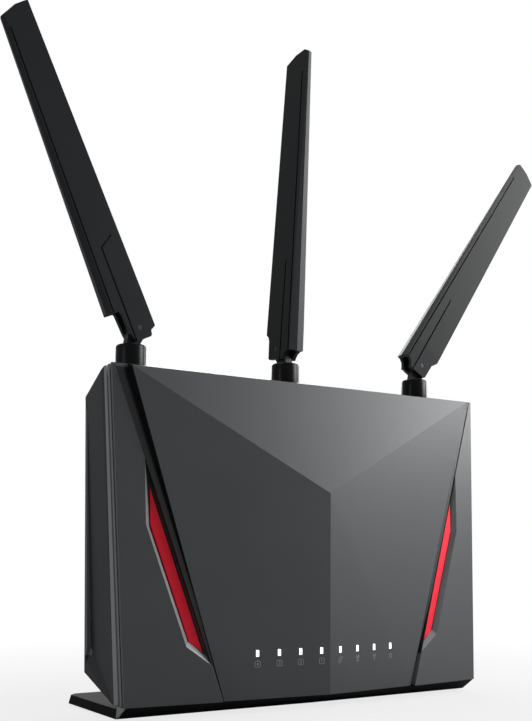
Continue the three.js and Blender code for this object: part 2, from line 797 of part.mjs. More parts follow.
function heatSink() {
  const [x0, x1, z0, z1] = [-42, 34, 50, boardTop - 28];
  const foot = boardBack + gap.seat;
  const plate = block([x0, x1], [foot, foot + 2.4], [z0, z1]);
  const fins = Array.from({ length: 9 }, (_, i) => x0 + 2 + (i * (x1 - x0 - 5.2)) / 8);
  return join(plate, fins.map((x) => block([x, x + 1.2], [foot + 2, foot + 10.5], [z0 + 1, z1 - 1])));
}

function shieldCan(x0, x1, z0, z1) {
  const back = board.front - gap.seat;
  const can = block([x0, x1], [back - 3.6, back], [z0, z1]);
  return cut(can, block([x0 + 0.6, x1 - 0.6], [back - 3, back + 2], [z0 + 0.6, z1 - 0.6]));
}

// ---------------------------------------------------------------- fasteners

function fastener(length) {
  const { shaft, head, headHeight } = screw;
  const profile = [
    [0, -length],
    [shaft, -length],
    [shaft, 0],
    [head, 0],
    [head, headHeight * 0.6],
    [head - 0.7, headHeight],
    [1, headHeight],
    [1, headHeight - 0.9],
    [0, headHeight - 0.9],
  ];
  return turned(profile, 12);
}

// ---------------------------------------------------------------- antennas

const collarFoot = antenna.collarLift;
const collarTop = antenna.collarLift + antenna.collarHeight;
const shoulderZ = collarTop - 3.1;
const jackTop = antenna.jackHeight;

// Everything of one antenna is drawn about its own vertical axis, from the top of its boss.
function bulkheadJack() {
  const under = -antenna.bossDepth - gap.seat;
  const body0 = turned([
    [0, under - 9],
    [1.9, under - 9],
    [1.9, under - 3],
    [antenna.jackRadius, under - 2.5],
    [antenna.jackRadius, jackTop - 0.6],
    [antenna.jackRadius - 0.5, jackTop],
    [2.2, jackTop],
    [2.2, jackTop - 4],
    [0, jackTop - 4],
  ], 24);
  const hex = rod("z", antenna.jackFlange, under - 2.5, under, [0, 0], 6);
  return join(body0, hex);
}

function collarNut() {
  const r = antenna.collarRadius;
  const c = antenna.collarChamfer;
  const bore = antenna.jackRadius + gap.thread;
  const chamber = antenna.flangeRadius + 0.2;
  const neck = antenna.stemRadius + gap.thread;
  const sleeve = turned([
    [0, collarFoot],
    [r - 0.4, collarFoot],
    [r, collarFoot + 0.4],
    [r, collarTop - c],
    [r - c, collarTop],
    [0, collarTop],
  ], 36);
  return cut(
    sleeve,
    rod("z", bore, collarFoot - 1, collarTop, [0, 0], 24),
    rod("z", chamber, jackTop - 0.2, shoulderZ, [0, 0], 24),
    rod("z", neck, shoulderZ - 1, collarTop + 1, [0, 0], 24),
  );
}

function stem() {
  const flangeFoot = jackTop + gap.seat;
  const shaftTop = collarTop + 0.1;
  const shaft = join(
    rod("z", antenna.flangeRadius, flangeFoot, flangeFoot + antenna.flangeHeight, [0, 0], 28),
    rod("z", antenna.stemRadius, flangeFoot, shaftTop, [0, 0], 28),
  );
  const half = antenna.knuckleHalf;
  const knuckle = rod("y", antenna.knuckleRadius, -half, half, [antenna.pinOffset, antenna.pinHeight], 32);
  const reach = Math.sqrt(antenna.stemRadius ** 2 - half ** 2) - 0.1;
  const neck = hull(
    [-half, half].flatMap((y) => [
      [-reach, y, shaftTop - 0.05],
      [reach, y, shaftTop - 0.05],
      [antenna.pinOffset - antenna.knuckleRadius * 0.92, y, antenna.pinHeight - 1.5],
      [antenna.pinOffset + antenna.knuckleRadius * 0.75, y, antenna.pinHeight - 3.2],
    ]),
  );
  const bore = rod("y", antenna.pinRadius + gap.pin, -4, 4, [antenna.pinOffset, antenna.pinHeight], 24);
  return cut(join(shaft, knuckle, neck), bore);
}

function hingePin() {
  const end = blade.half - 0.35;
  return rod("y", antenna.pinRadius, -end, end, [0, 0], 24);
}

// Blade sizes at a height above the pin: distance to each edge and half thickness.
const openEdge = (q) => mix(-blade.openEdge, -blade.openEdgeTop, q / blade.taperOver);
const cheekEdge = (q) => mix(blade.cheekEdge, blade.cheekEdgeTop, q / blade.taperOver);
const halfThick = (q) => mix(blade.half, blade.halfTop, Math.max(q, blade.level) / blade.taperOver);

// Heights of the two edges' lower ends: the blade is cut back on the side it folds to.
const openFoot = { open: -1, cheek: 10.5 };
const farFoot = { open: 7.6, cheek: -1.5 };

// The lower outline of the broad faces: the two cheeks of the fork round the pin.
function forkOutline(longEdge) {
  const [open, far, foot] = [openFoot[longEdge], farFoot[longEdge], -blade.cheek];
  const throat = {
    open: [[-10.2, open - 0.2], [-8, -2.6], [-6.8, -4.4], [-6.2, foot], [4.4, foot], [5.2, -5], [5.6, 4.6], [6.4, 6.6]],
    cheek: [[-7, open - 0.1], [-6.6, open - 1], [-6.2, 0], [-5.6, -4], [-4.8, foot], [3.8, foot], [4.6, -5], [5, -3]],
  }[longEdge];
  const top = blade.level + 0.5;
  return [
    [openEdge(open), open],
    ...throat,
    [cheekEdge(far), far],
    [cheekEdge(top), top],
    [openEdge(top), top],
  ];
}

function bladeBody(longEdge) {
  const low = blade.level;
  const ends = longEdge === "cheek" ? [blade.short, blade.long] : [blade.long, blade.short];
  const corner = (p, q, out) => [
    [p, -halfThick(q), q],
    [p, halfThick(q), q],
    [p + out, 0, q],
  ];
  const tipMid = (ends[0] + ends[1]) / 2 + blade.tipCrown;
  const upper = hull([
    ...corner(openEdge(low), low, -blade.ridge),
    ...corner(cheekEdge(low), low, blade.ridge),
    ...corner(openEdge(ends[0]), ends[0], -blade.ridge),
    ...corner(cheekEdge(ends[1]), ends[1], blade.ridge),
    [1, -halfThick(tipMid), tipMid],
    [1, halfThick(tipMid), tipMid],
  ]);
  const plate = plateXZ(forkOutline(longEdge), -halfThick(0), halfThick(0));
  const ridges = [
    [openEdge, openFoot[longEdge], -1],
    [cheekEdge, farFoot[longEdge], 1],
  ].map(([edge, foot, out]) => {
    const points = [foot, low + 0.1].flatMap((q) => corner(edge(q), q, out * blade.ridge));
    return hull([...points, ...points.map(([p, y, q]) => [p - out * 1.2, y, q])]);
  });
  return join(upper, plate, ...ridges);
}

function forkSlot(longEdge) {
  const half = antenna.knuckleHalf + 0.2;
  const ends = longEdge === "open" ? [openEdge(0) + 1.6, 20] : [-20, cheekEdge(0) - 1.4];
  const throat = longEdge === "open" ? [-9, 6] : [-20, 5.5];
  return join(
    block(ends, [-half, half], [-12, 6.8]),
    block(throat, [-half, half], [0, longEdge === "open" ? blade.slotRoof : 11]),
  );
}

function creases(longEdge, style) {
  const g = blade.groove / 2;
  const line = (from, to, face) => {
    const [[p0, q0], [p1, q1]] = [from, to];
    const length = Math.hypot(p1 - p0, q1 - q0);
    const [ax, az] = [((p1 - p0) / length) * g, ((q1 - q0) / length) * g];
    const corners = [
      [p0 - az - ax, q0 + ax - az],
      [p0 + az - ax, q0 - ax - az],
      [p1 - az + ax, q1 + ax + az],
      [p1 + az + ax, q1 - ax + az],
    ];
    return hull(
      corners.flatMap(([p, q]) => [
        [p, face * (halfThick(q) - blade.grooveDepth), q],
        [p, face * 9, q],
      ]),
    );
  };
  const foot = openFoot[longEdge] + 0.6;
  const seam = (q) => openEdge(q) + 0.9;
  const bend = style === "angled" ? [-4, blade.creaseTurn] : [-4, blade.creaseTop];
  return [-1, 1].flatMap((face) => {
    const cuts = [
      line([seam(foot), foot], [seam(150), 150], face),
      line([-4.7, -blade.cheek - 1], bend, face),
    ];
    if (style === "angled") cuts.push(line(bend, [3, blade.creaseTop - 0.8], face));
    return cuts;
  });
}

function bladeHalves(longEdge, style) {
  const full = bladeBody(longEdge);
  const chamber = block([openEdge(150) + 1.8, cheekEdge(150) - 1.8], [-blade.cavity, blade.cavity], [13.5, 146]);
  const pinBore = rod("y", antenna.pinRadius + gap.pin, -8, 8, [0, 0], 24);
  const carved = cut(full, forkSlot(longEdge), chamber, pinBore, ...creases(longEdge, style));
  const front = carved.intersect(block([-40, 40], [-20, -blade.seam], [-40, 200]));
  const back = carved.intersect(block([-40, 40], [blade.seam, 20], [-40, 200]));
  return { front, back };
}

function radiator() {
  const w = blade.boardWidth / 2;
  const strip = block([1 - w, 1 + w], [-blade.board / 2, blade.board / 2], [blade.boardFrom, blade.boardTo]);
  return cut(strip, block([0.4, 1.6], [-2, 2], [40, 130]));
}

// Lead from the jack's tail to the circuit board's upper edge.
function pigtail(x, bend) {
  const tail = bossTop - antenna.bossDepth - gap.seat - 9;
  const end = [x + bend, boardBack + 1.6, boardTop - 9];
  const points = [
    [x, antenna.y, tail - 0.3],
    [x, antenna.y, tail - 3],
    [x + bend * 0.3, antenna.y - 1.5, tail - 6.5],
    [x + bend * 0.75, -15, tail - 9],
    [end[0], end[1] + 0.6, end[2] + 4],
    end,
  ];
  const path = new THREE.CatmullRomCurve3(points.map((p) => new THREE.Vector3(...p)));
  const ring = new THREE.Shape().absarc(0, 0, 0.7, 0, Math.PI * 2);
  const lead = new THREE.ExtrudeGeometry(ring, { steps: 10, curveSegments: 2, extrudePath: path });
  const plug = rod("y", 1.6, boardBack + gap.seat, boardBack + 2.2, [end[0], end[2]], 16);
  return join(solid(lead), plug);
}

function addAntenna({ side, x, swivel, tilt, longEdge, crease }) {
  const mast = new THREE.Group();
  mast.position.set(x, antenna.y, bossTop);
  root.add(mast);
  place(`antenna_jack_${side}`, bulkheadJack(), finish.brass, mast);
  place(`antenna_collar_${side}`, collarNut(), finish.gloss, mast);
  const turn = new THREE.Group();
  turn.rotation.z = THREE.MathUtils.degToRad(swivel);
  mast.add(turn);
  place(`antenna_stem_${side}`, stem(), finish.bladePlastic, turn);
  const lean = new THREE.Group();
  lean.position.set(antenna.pinOffset, 0, antenna.pinHeight);
  lean.rotation.y = THREE.MathUtils.degToRad(tilt);
  turn.add(lean);
  const halves = bladeHalves(longEdge, crease);
  place(`blade_front_${side}`, halves.front, finish.bladePlastic, lean);
  place(`blade_back_${side}`, halves.back, finish.bladePlastic, lean);
  place(`radiator_${side}`, radiator(), finish.circuit, lean);
  place(`hinge_pin_${side}`, hingePin(), finish.steel, lean);
  place(`antenna_lead_${side}`, pigtail(x, side === "left" ? 14 : -14), finish.blackPart);
}

// ---------------------------------------------------------------- assembly

place("front_panel", frontPanel(), finish.satin);
place("accent_left", accentInsert(-1), finish.red);
place("accent_right", accentInsert(1), finish.red);
place("middle_frame", middleFrame(), finish.trim);
place("rear_shell", rearShell(), finish.shellPlastic);
place("base_stand", baseStand(), finish.gloss);
footPlaces.forEach((at, i) => place(`foot_${i + 1}`, foot(at), finish.rubber));
place("circuit_board", circuitBoard(), finish.circuit);
place("light_guide", lightGuide(), finish.clear);
place("lan_jack", networkJack(port.lanCentre, 4), finish.plated);
place("wan_jack", networkJack(port.wanCentre, 1), finish.bluePort);
place("usb3_port", usbPort(port.usb3Centre), finish.plated);
place("usb2_port", usbPort(port.usb2Centre), finish.plated);
place("power_inlet", powerInlet(), finish.blackPart);
place("power_button", roundButton(button.powerX), finish.gloss);
place("led_button", roundButton(button.ledX), finish.gloss);
place("reset_plunger", resetPlunger(), finish.red);
place("wps_button", sideButton(button.sideHeights[0]), finish.gloss);
place("wifi_button", sideButton(button.sideHeights[1]), finish.gloss);
place("heat_sink", heatSink(), finish.aluminium);
place("shield_can_left", shieldCan(-70, -14, 62, boardTop - 20), finish.plated);
place("shield_can_right", shieldCan(10, 62, 68, boardTop - 20), finish.plated);
stations.forEach(addAntenna);

fixings.forEach(([x, z], i) => {
  const node = place(`housing_screw_${i + 1}`, fastener(15.5), finish.steel);
  node.rotation.x = -Math.PI / 2;
  node.position.set(x, -3.3, z);
});
boardFixings.forEach(([x, z], i) => {
  const node = place(`board_screw_${i + 1}`, fastener(7), finish.steel);
  node.rotation.x = -Math.PI / 2;
  node.position.set(x, boardBack + gap.seat, z);
});
[-1, 1].forEach((s, i) => {
  const node = place(`stand_screw_${i + 1}`, fastener(11.6), finish.steel);
  node.rotation.x = Math.PI;
  node.position.set(s * base.screwX, base.screwY, 2.1);
});

export default root;
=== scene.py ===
"""Wireless router standing on a flat base, with three blade antennas.

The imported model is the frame. This script dresses it: every part gets a procedural finish, and the small
parts that are turned, rounded, repeated or printed are built here and ride on the frame's bodies. Sizes in
the sub-assemblies are in millimetres. Finishes, the studio and everything given to Blender are in metres.
"""

from __future__ import annotations

import logging
import math
from dataclasses import dataclass, field
from enum import Enum
from typing import Callable, Iterable, Sequence

import bmesh
import bpy
from mathutils import Matrix, Vector
from mathutils.bvhtree import BVHTree


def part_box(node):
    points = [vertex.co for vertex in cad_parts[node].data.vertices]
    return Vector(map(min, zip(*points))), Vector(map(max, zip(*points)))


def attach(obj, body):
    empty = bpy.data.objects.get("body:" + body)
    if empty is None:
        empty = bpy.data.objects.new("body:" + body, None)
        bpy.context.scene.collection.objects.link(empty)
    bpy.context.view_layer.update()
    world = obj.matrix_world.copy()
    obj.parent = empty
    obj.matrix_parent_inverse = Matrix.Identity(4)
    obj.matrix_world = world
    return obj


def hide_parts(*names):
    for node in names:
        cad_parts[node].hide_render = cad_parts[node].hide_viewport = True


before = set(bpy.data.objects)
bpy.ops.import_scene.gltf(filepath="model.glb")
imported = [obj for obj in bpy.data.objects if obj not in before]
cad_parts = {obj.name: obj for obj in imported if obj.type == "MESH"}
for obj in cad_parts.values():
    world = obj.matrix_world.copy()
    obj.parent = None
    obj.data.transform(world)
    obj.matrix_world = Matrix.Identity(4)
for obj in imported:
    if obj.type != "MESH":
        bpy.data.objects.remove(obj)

log = logging.getLogger("router")
MM = 0.001
AHEAD = -0.2  # a y well in front of the router, where rays start
BACKWARDS = Vector((0.0, 1.0, 0.0))
Colour = tuple[float, float, float]
Point = tuple[float, float, float]
Flat = tuple[float, float]


# ------------------------------------------------------------------ shader maths


class Sock:
    """A node socket that adds Math nodes when it is used in a sum."""

    def __init__(self, graph: "Graph", socket: bpy.types.NodeSocket) -> None:
        """Wrap one output socket of a graph."""
        self.graph = graph
        self.socket = socket

    def math(self, operation: str, *others: "Sock | float") -> "Sock":
        """Add one Math node.

        Args:
            operation: The Math node's operation.
            others: The node's other inputs, after this socket.

        Returns:
            The node's output.
        """
        inputs = dict(enumerate((self, *others)))
        return self.graph.add("ShaderNodeMath", {"operation": operation}, inputs)

    def __add__(self, other: "Sock | float") -> "Sock":
        """Add."""
        return self.math("ADD", other)

    def __sub__(self, other: "Sock | float") -> "Sock":
        """Take away."""
        return self.math("SUBTRACT", other)

    def __rsub__(self, other: float) -> "Sock":
        """Take this from a number."""
        return self.graph.number(other).math("SUBTRACT", self)

    def __mul__(self, other: "Sock | float") -> "Sock":
        """Multiply."""
        return self.math("MULTIPLY", other)

    def __abs__(self) -> "Sock":
        """Drop the sign."""
        return self.math("ABSOLUTE")

    def above(self, limit: "Sock | float") -> "Sock":
        """Return 1 where this is over the limit, else 0."""
        return self.math("GREATER_THAN", limit)

    def below(self, limit: "Sock | float") -> "Sock":
        """Return 1 where this is under the limit, else 0."""
        return self.math("LESS_THAN", limit)

    def ramp(self, low: float, high: float, start: float = 0.0, end: float = 1.0) -> "Sock":
        """Map a range to another and hold it at both ends.

        Args:
            low: The value that gives start.
            high: The value that gives end.
            start: The result at low.
            end: The result at high.

        Returns:
            The mapped value.
        """
        inputs = {0: self, 1: low, 2: high, 3: start, 4: end}
        return self.graph.add("ShaderNodeMapRange", {"clamp": True}, inputs)

    __radd__ = __add__
    __rmul__ = __mul__


class Graph:
    """A material's node tree, with one Principled shader."""

    def __init__(self, name: str) -> None:
        """Make an empty material of that name."""
        self.material = bpy.data.materials.new(name)
        self.material.use_nodes = True
        self.tree = self.material.node_tree
        self.tree.nodes.clear()
        self.output = self.tree.nodes.new("ShaderNodeOutputMaterial")

    def add(
        self,
        kind: str,
        settings: dict[str, object] | None = None,
        inputs: dict[int | str, object] | None = None,
        output: int | str = 0,
    ) -> Sock:
        """Add one node.

        Args:
            kind: The node's type.
            settings: Its properties, set before its sockets; "stops" gives a colour ramp's stops.
            inputs: Values, or Socks to link, by socket number or name.
            output: Which output to return.

        Returns:
            The chosen output.
        """
        node = self.tree.nodes.new(kind)
        for key, value in (settings or {}).items():
            if key == "stops":
                self._stops(node, value)
            else:
                setattr(node, key, value)
        for key, value in (inputs or {}).items():
            if isinstance(value, Sock):
                self.tree.links.new(value.socket, node.inputs[key])
            else:
                node.inputs[key].default_value = value
        return Sock(self, node.outputs[output])

    @staticmethod
    def _stops(node: bpy.types.Node, stops: Sequence[tuple[float, Colour]]) -> None:
        """Set a colour ramp's stops from (place, colour) pairs."""
        elements = node.color_ramp.elements
        while len(elements) < len(stops):
            elements.new(1.0)
        for element, (place, colour) in zip(elements, stops):
            element.position = place
            element.color = (*colour, 1.0)

    def number(self, value: float) -> Sock:
        """Add a Value node."""
        sock = self.add("ShaderNodeValue")
        sock.socket.default_value = value
        return sock

    def place(self) -> tuple[Sock, Sock, Sock, Sock]:
        """Return the object coordinates as a vector and as x, y and z."""
        vector = self.add("ShaderNodeTexCoord", output="Object")
        split = self.add("ShaderNodeSeparateXYZ", inputs={0: vector}).socket.node
        return vector, *(Sock(self, split.outputs[i]) for i in range(3))

    def stretched(self, vector: Sock, scale: Point, turn: Point = (0, 0, 0)) -> Sock:
        """Scale and turn a vector with a Mapping node."""
        return self.add("ShaderNodeMapping", inputs={"Vector": vector, "Scale": scale, "Rotation": turn})

    def noise(self, vector: Sock, scale: float, detail: float = 2.0) -> Sock:
        """Return a noise texture's value, from 0 to 1."""
        return self.add("ShaderNodeTexNoise", inputs={"Vector": vector, "Scale": scale, "Detail": detail})

    def mix(self, amount: Sock | float, first: Colour | Sock, second: Colour | Sock) -> Sock:
        """Mix two colours by an amount from 0 to 1."""
        colours = [c if isinstance(c, Sock) else (*c, 1.0) for c in (first, second)]
        inputs = {0: amount, 6: colours[0], 7: colours[1]}
        return self.add("ShaderNodeMix", {"data_type": "RGBA"}, inputs, output=2)

    def bump(self, height: Sock, depth: float) -> Sock:
        """Turn a height from 0 to 1 into a normal, for a relief of that depth in metres."""
        inputs = {"Height": height, "Distance": depth, "Strength": 1.0}
        return self.add("ShaderNodeBump", inputs=inputs, output="Normal")

    def finish(self, **sockets: object) -> bpy.types.Material:
        """Add the Principled shader.

        Args:
            sockets: Its inputs by name, with _ for a space.

        Returns:
            The finished material.
        """
        named = {key.replace("_", " "): value for key, value in sockets.items()}
        shader = self.add("ShaderNodeBsdfPrincipled", inputs=named)
        self.tree.links.new(shader.socket, self.output.inputs["Surface"])
        return self.material


# ------------------------------------------------------------------ finishes


class Grain(Enum):
    """How coarse a moulding's surface texture is: the grains in a metre, and their depth in metres."""

    SATIN = (2600.0, 0.0000015)
    FINE = (1900.0, 0.000006)


@dataclass(frozen=True)
class Moulding:
    """Moulded plastic with a spark-eroded texture and slight uneven sheen."""

    name: str
    colour: Colour
    roughness: float
    grain: Grain = Grain.SATIN
    # accent paints light and shade into the colour through a mask: painted shade in the front's channels, a
    # painted highlight on the shell's bevel
    accent: Callable[[Graph, Sock, Sock, Sock], tuple[Sock, Colour, float]] | None = None
    specular: float = 0.5

    def build(self) -> bpy.types.Material:
        """Return the material."""
        graph = Graph(self.name)
        vector, x, y, z = graph.place()
        scale, depth = self.grain.value
        grain = graph.noise(vector, scale, 3.0)
        cloud = graph.noise(vector, 22.0, 2.0)
        dark = tuple(c * 0.9 for c in self.colour)
        light = tuple(c * 1.1 for c in self.colour)
        colour = graph.mix(cloud, dark, light)
        rough = self.roughness + (cloud - 0.5) * 0.08 + (grain - 0.5) * 0.1
        # painted light and shade from the accent's mask
        if self.accent:
            mask, painted_tone, sheen = self.accent(graph, x, y, z)
            colour = graph.mix(mask, colour, painted_tone)
            rough = rough + mask * (sheen - self.roughness)
        normal = graph.bump(grain, depth)
        return graph.finish(
            Base_Color=colour, Roughness=rough, Normal=normal, Specular_IOR_Level=self.specular
        )


@dataclass(frozen=True)
class BrushedLacquer:
    """Coloured lacquer over metal with fine brushing along one direction, painted darker towards the top as
    shade.
    """

    name: str
    colour: Colour
    turn: float

    def build(self) -> bpy.types.Material:
        """Return the material."""
        graph = Graph(self.name)
        vector, _, _, z = graph.place()
        lines = graph.noise(graph.stretched(vector, (4200.0, 300.0, 90.0), (0.0, self.turn, 0.0)), 1.0, 3.0)
        deep = tuple(c * 0.66 for c in self.colour)
        bright = tuple(min(c * 1.25, 0.9) for c in self.colour)
        colour = graph.mix(lines, deep, bright)
        # painted shade: darker towards the top of the insert, where the recess shades it
        colour = graph.mix(z.ramp(0.03, 0.1, 0.0, 0.35), colour, tuple(c * 0.7 for c in self.colour))
        rough = lines.ramp(0.2, 0.8, 0.3, 0.46)
        normal = graph.bump(lines, 0.000012)
        return graph.finish(Base_Color=colour, Roughness=rough, Metallic=0.55, Normal=normal)


@dataclass(frozen=True)
class Metal:
    """Bare, plated or blackened metal with a drawn grain along one axis."""

    name: str
    colour: Colour
    roughness: float
    drawn: Point = (300.0, 4000.0, 300.0)

    def build(self) -> bpy.types.Material:
        """Return the material."""
        graph = Graph(self.name)
        vector = graph.place()[0]
        lines = graph.noise(graph.stretched(vector, self.drawn), 1.0, 2.0)
        stain = graph.noise(vector, 160.0, 3.0)
        colour = graph.mix(stain.ramp(0.35, 0.75), self.colour, tuple(c * 0.86 for c in self.colour))
        rough = lines.ramp(0.25, 0.75, self.roughness - 0.06, self.roughness + 0.08)
        normal = graph.bump(lines, 0.0000006)
        return graph.finish(Base_Color=colour, Roughness=rough, Metallic=1.0, Normal=normal)


@dataclass(frozen=True)
class SocketShell:
    """Plated shell round a socket, with a moulded insert in its mouth."""

    name: str
    insert: Colour
    mouth: float = -0.0009
    plating: Colour = (0.46, 0.47, 0.49)

    def build(self) -> bpy.types.Material:
        """Return the material."""
        graph = Graph(self.name)
        vector, _, y, _ = graph.place()
        lines = graph.noise(graph.stretched(vector, (3500.0, 250.0, 250.0)), 1.0, 2.0)
        shell = y.above(self.mouth)
        bright = graph.mix(lines, self.plating, tuple(c * 0.85 for c in self.plating))
        rough = lines.ramp(0.2, 0.8, 0.3, 0.38) * shell + (1.0 - shell) * 0.5
        return graph.finish(
            Base_Color=graph.mix(shell, self.insert, bright), Roughness=rough, Metallic=shell,
            Normal=graph.bump(lines, 0.0000006),
        )


@dataclass(frozen=True)
class LitGuide:
    """Frosted light guide whose front ends glow."""

    name: str = "lit light guide"
    glow_front: float = -0.040

    def build(self) -> bpy.types.Material:
        """Return the material."""
        graph = Graph(self.name)
        vector, _, y, _ = graph.place()
        haze = graph.noise(vector, 900.0, 2.0)
        lit = y.below(self.glow_front)
        glow = graph.mix(lit, (0.0, 0.0, 0.0), (1.0, 0.99, 0.96))
        return graph.finish(
            Base_Color=graph.mix(haze, (0.8, 0.82, 0.84), (0.92, 0.94, 0.96)),
            Roughness=haze.ramp(0.2, 0.8, 0.25, 0.4), Emission_Color=glow, Emission_Strength=1.6,
        )


@dataclass(frozen=True)
class CircuitMask:
    """Solder mask over copper tracks."""

    name: str = "solder mask"
    mask: Colour = (0.008, 0.045, 0.02)

    def build(self) -> bpy.types.Material:
        """Return the material."""
        graph = Graph(self.name)
        vector, x, _, z = graph.place()
        swirl = graph.noise(vector, 55.0, 0.0)
        track = ((x + swirl * 0.012) * 520.0).math("FRACT").above(0.55)
        cross = ((z + swirl * 0.015) * 430.0).math("FRACT").above(0.6)
        patch = graph.noise(vector, 28.0, 0.0).above(0.5)
        copper = track * patch + cross * (1.0 - patch)
        colour = graph.mix(copper * 0.55, self.mask, (0.03, 0.12, 0.045))
        return graph.finish(
            Base_Color=colour, Roughness=copper.ramp(0.0, 1.0, 0.5, 0.38), Normal=graph.bump(copper, 0.00003)
        )


@dataclass(frozen=True)
class Rubber:
    """Matt rubber with a fine tooth."""

    name: str = "rubber"
    colour: Colour = (0.012, 0.012, 0.013)

    def build(self) -> bpy.types.Material:
        """Return the material."""
        graph = Graph(self.name)
        vector = graph.place()[0]
        tooth = graph.noise(vector, 2200.0, 4.0)
        dust = graph.noise(vector, 180.0, 3.0)
        colour = graph.mix(dust.ramp(0.45, 0.8), self.colour, (0.03, 0.03, 0.029))
        return graph.finish(
            Base_Color=colour, Roughness=tooth.ramp(0.2, 0.8, 0.78, 0.92), Normal=graph.bump(tooth, 0.00003)
        )


def painted_channel_shade(graph: Graph, x: Sock, y: Sock, z: Sock) -> tuple[Sock, Colour, float]:
    """Paint shade on the outward flanks of the channel between the raised middle of the front and its wings:
    the near-black is painted shade.

    Args:
        graph: The material's graph.
        x: Place across.
        y: Place from front to back, unused.
        z: Height.

    Returns:
        The mask, its colour and its roughness.
    """
    inner = z.ramp(0.0058, 0.1588, 0.0552, 0.1018)
    outer = z.ramp(0.0058, 0.1594, 0.05705, 0.10895)
    across = abs(x)
    facing = graph.add("ShaderNodeSeparateXYZ", inputs={0: graph.add("ShaderNodeTexCoord", output="Normal")})
    flank = (facing * x.math("SIGN")).above(0.2)
    mask = across.above(inner) * across.below(outer) * flank
    # near-black painted shade on the flanks, with a glossy roughness
    return mask, (0.0035, 0.004, 0.0045), 0.2


def painted_bevel_highlight_pale_flange(graph: Graph, x: Sock, y: Sock, z: Sock) -> tuple[Sock, Colour, float]:
    """Paint a highlight on the bevel round the housing's front edge, and paint the step of its rear flange
    pale.

    Args:
        graph: The material's graph, not used.
        x: Place across.
        y: Place from front to back.
        z: Height.

    Returns:
        The mask, its colour and its roughness.
    """
    bevel_end = z.ramp(0.0054, 0.160, -0.0284, -0.0252)
    wall = z.ramp(0.0058, 0.160, 0.1033, 0.110)
    bevel = y.below(bevel_end) * abs(x).above(0.1)
    flange = y.above(-0.0046) * abs(x).above(wall + 0.0001) * z.above(0.026) * y.below(-0.0002)
    # pale grey: a painted highlight on the bevel, and the same grey at 0.35 on the flange step
    return (bevel + flange * 0.35).math("MINIMUM", 1.0), (0.26, 0.27, 0.28), 0.42


class Finish(Enum):
    """Every finish on the router."""

    # The panel carries painted shade on the flanks of its channels.
    PANEL = Moulding("satin panel", (0.037, 0.042, 0.046), 0.37, Grain.SATIN, painted_channel_shade)
    TRIM = Moulding("satin trim", (0.12, 0.126, 0.13), 0.42)
    # The shell carries a painted highlight on its front bevel.
    SHELL = Moulding("shell moulding", (0.016, 0.0185, 0.0205), 0.5, Grain.FINE, painted_bevel_highlight_pale_flange, 0.3)
    BLADE = Moulding("blade moulding", (0.014, 0.0155, 0.017), 0.4, Grain.SATIN, None, 0.14)
    GLOSS = Moulding("black gloss moulding", (0.003, 0.0032, 0.0036), 0.28, Grain.SATIN, None, 0.12)
    PLATE = Moulding("satin black plate", (0.0065, 0.007, 0.0075), 0.66, Grain.FINE, None, 0.05)
    # Near-black channel floor: painted shade standing in for the shade of the deep groove.
    CHANNEL_SHADE = Moulding("painted channel shade", (0.0035, 0.004, 0.0045), 0.22)
    # Pale grey: a painted highlight on the recess chamfers, and the colour of the base's corner cheeks.
    CHEEK_AND_HIGHLIGHT = Moulding("pale cheek and painted highlight", (0.2, 0.21, 0.218), 0.42)
    BLACK = Moulding("matt black moulding", (0.009, 0.009, 0.01), 0.55, Grain.FINE)
    BLUE = Moulding("blue moulding", (0.012, 0.07, 0.36), 0.4)
    RED_PLASTIC = Moulding("red moulding", (0.38, 0.015, 0.015), 0.5)
    PRINT = Moulding("pale print", (0.34, 0.35, 0.36), 0.5)
    RED_LEFT = BrushedLacquer("brushed red, left", (0.8, 0.007, 0.028), 0.34)
    RED_RIGHT = BrushedLacquer("brushed red, right", (0.8, 0.007, 0.028), -0.34)
    GUIDE = LitGuide()
    BOARD = CircuitMask()
    RUBBER = Rubber()
    PLATED = Metal("plated steel", (0.62, 0.63, 0.65), 0.28)
    JACKS = SocketShell("network socket block", (0.012, 0.012, 0.013))
    USB_BLUE = SocketShell("usb socket, blue tongue", (0.01, 0.055, 0.3))
    USB_BLACK = SocketShell("usb socket, black tongue", (0.012, 0.012, 0.013))
    GOLD = Metal("gold plate", (0.83, 0.58, 0.24), 0.22)
    ALUMINIUM = Metal("extruded aluminium", (0.55, 0.56, 0.58), 0.42, (300.0, 300.0, 5000.0))
    DARK_STEEL = Metal("blackened steel", (0.06, 0.06, 0.064), 0.36)

    def material(self) -> bpy.types.Material:
        """Return the finish's material, made on first use."""
        found = bpy.data.materials.get(self.value.name)
        return found or self.value.build()


# ------------------------------------------------------------------ mesh tools


def dress(node: str, finish: Finish) -> None:
    """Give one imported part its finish."""
    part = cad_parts[node]
    for slot in part.material_slots:
        slot.material = finish.material()
    log.info("dressed %s in %s", node, finish.name.lower())


def keep(piece: bpy.types.Object, body: str, slot: str, finish: Finish, *replaced: str) -> bpy.types.Object:
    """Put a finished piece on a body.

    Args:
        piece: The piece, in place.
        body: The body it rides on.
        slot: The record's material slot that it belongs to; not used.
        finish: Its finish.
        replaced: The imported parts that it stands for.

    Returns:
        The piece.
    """
    piece.data.materials.clear()
    piece.data.materials.append(finish.material())
    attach(piece, body)
    if replaced:
        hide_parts(*replaced)
    log.info("%s: %d faces on %s", piece.name, len(piece.data.polygons), body)
    return piece


def link(name: str, mesh: bpy.types.Mesh) -> bpy.types.Object:
    """Add an object that holds a mesh."""
    piece = bpy.data.objects.new(name, mesh)
    bpy.context.scene.collection.objects.link(piece)
    return piece


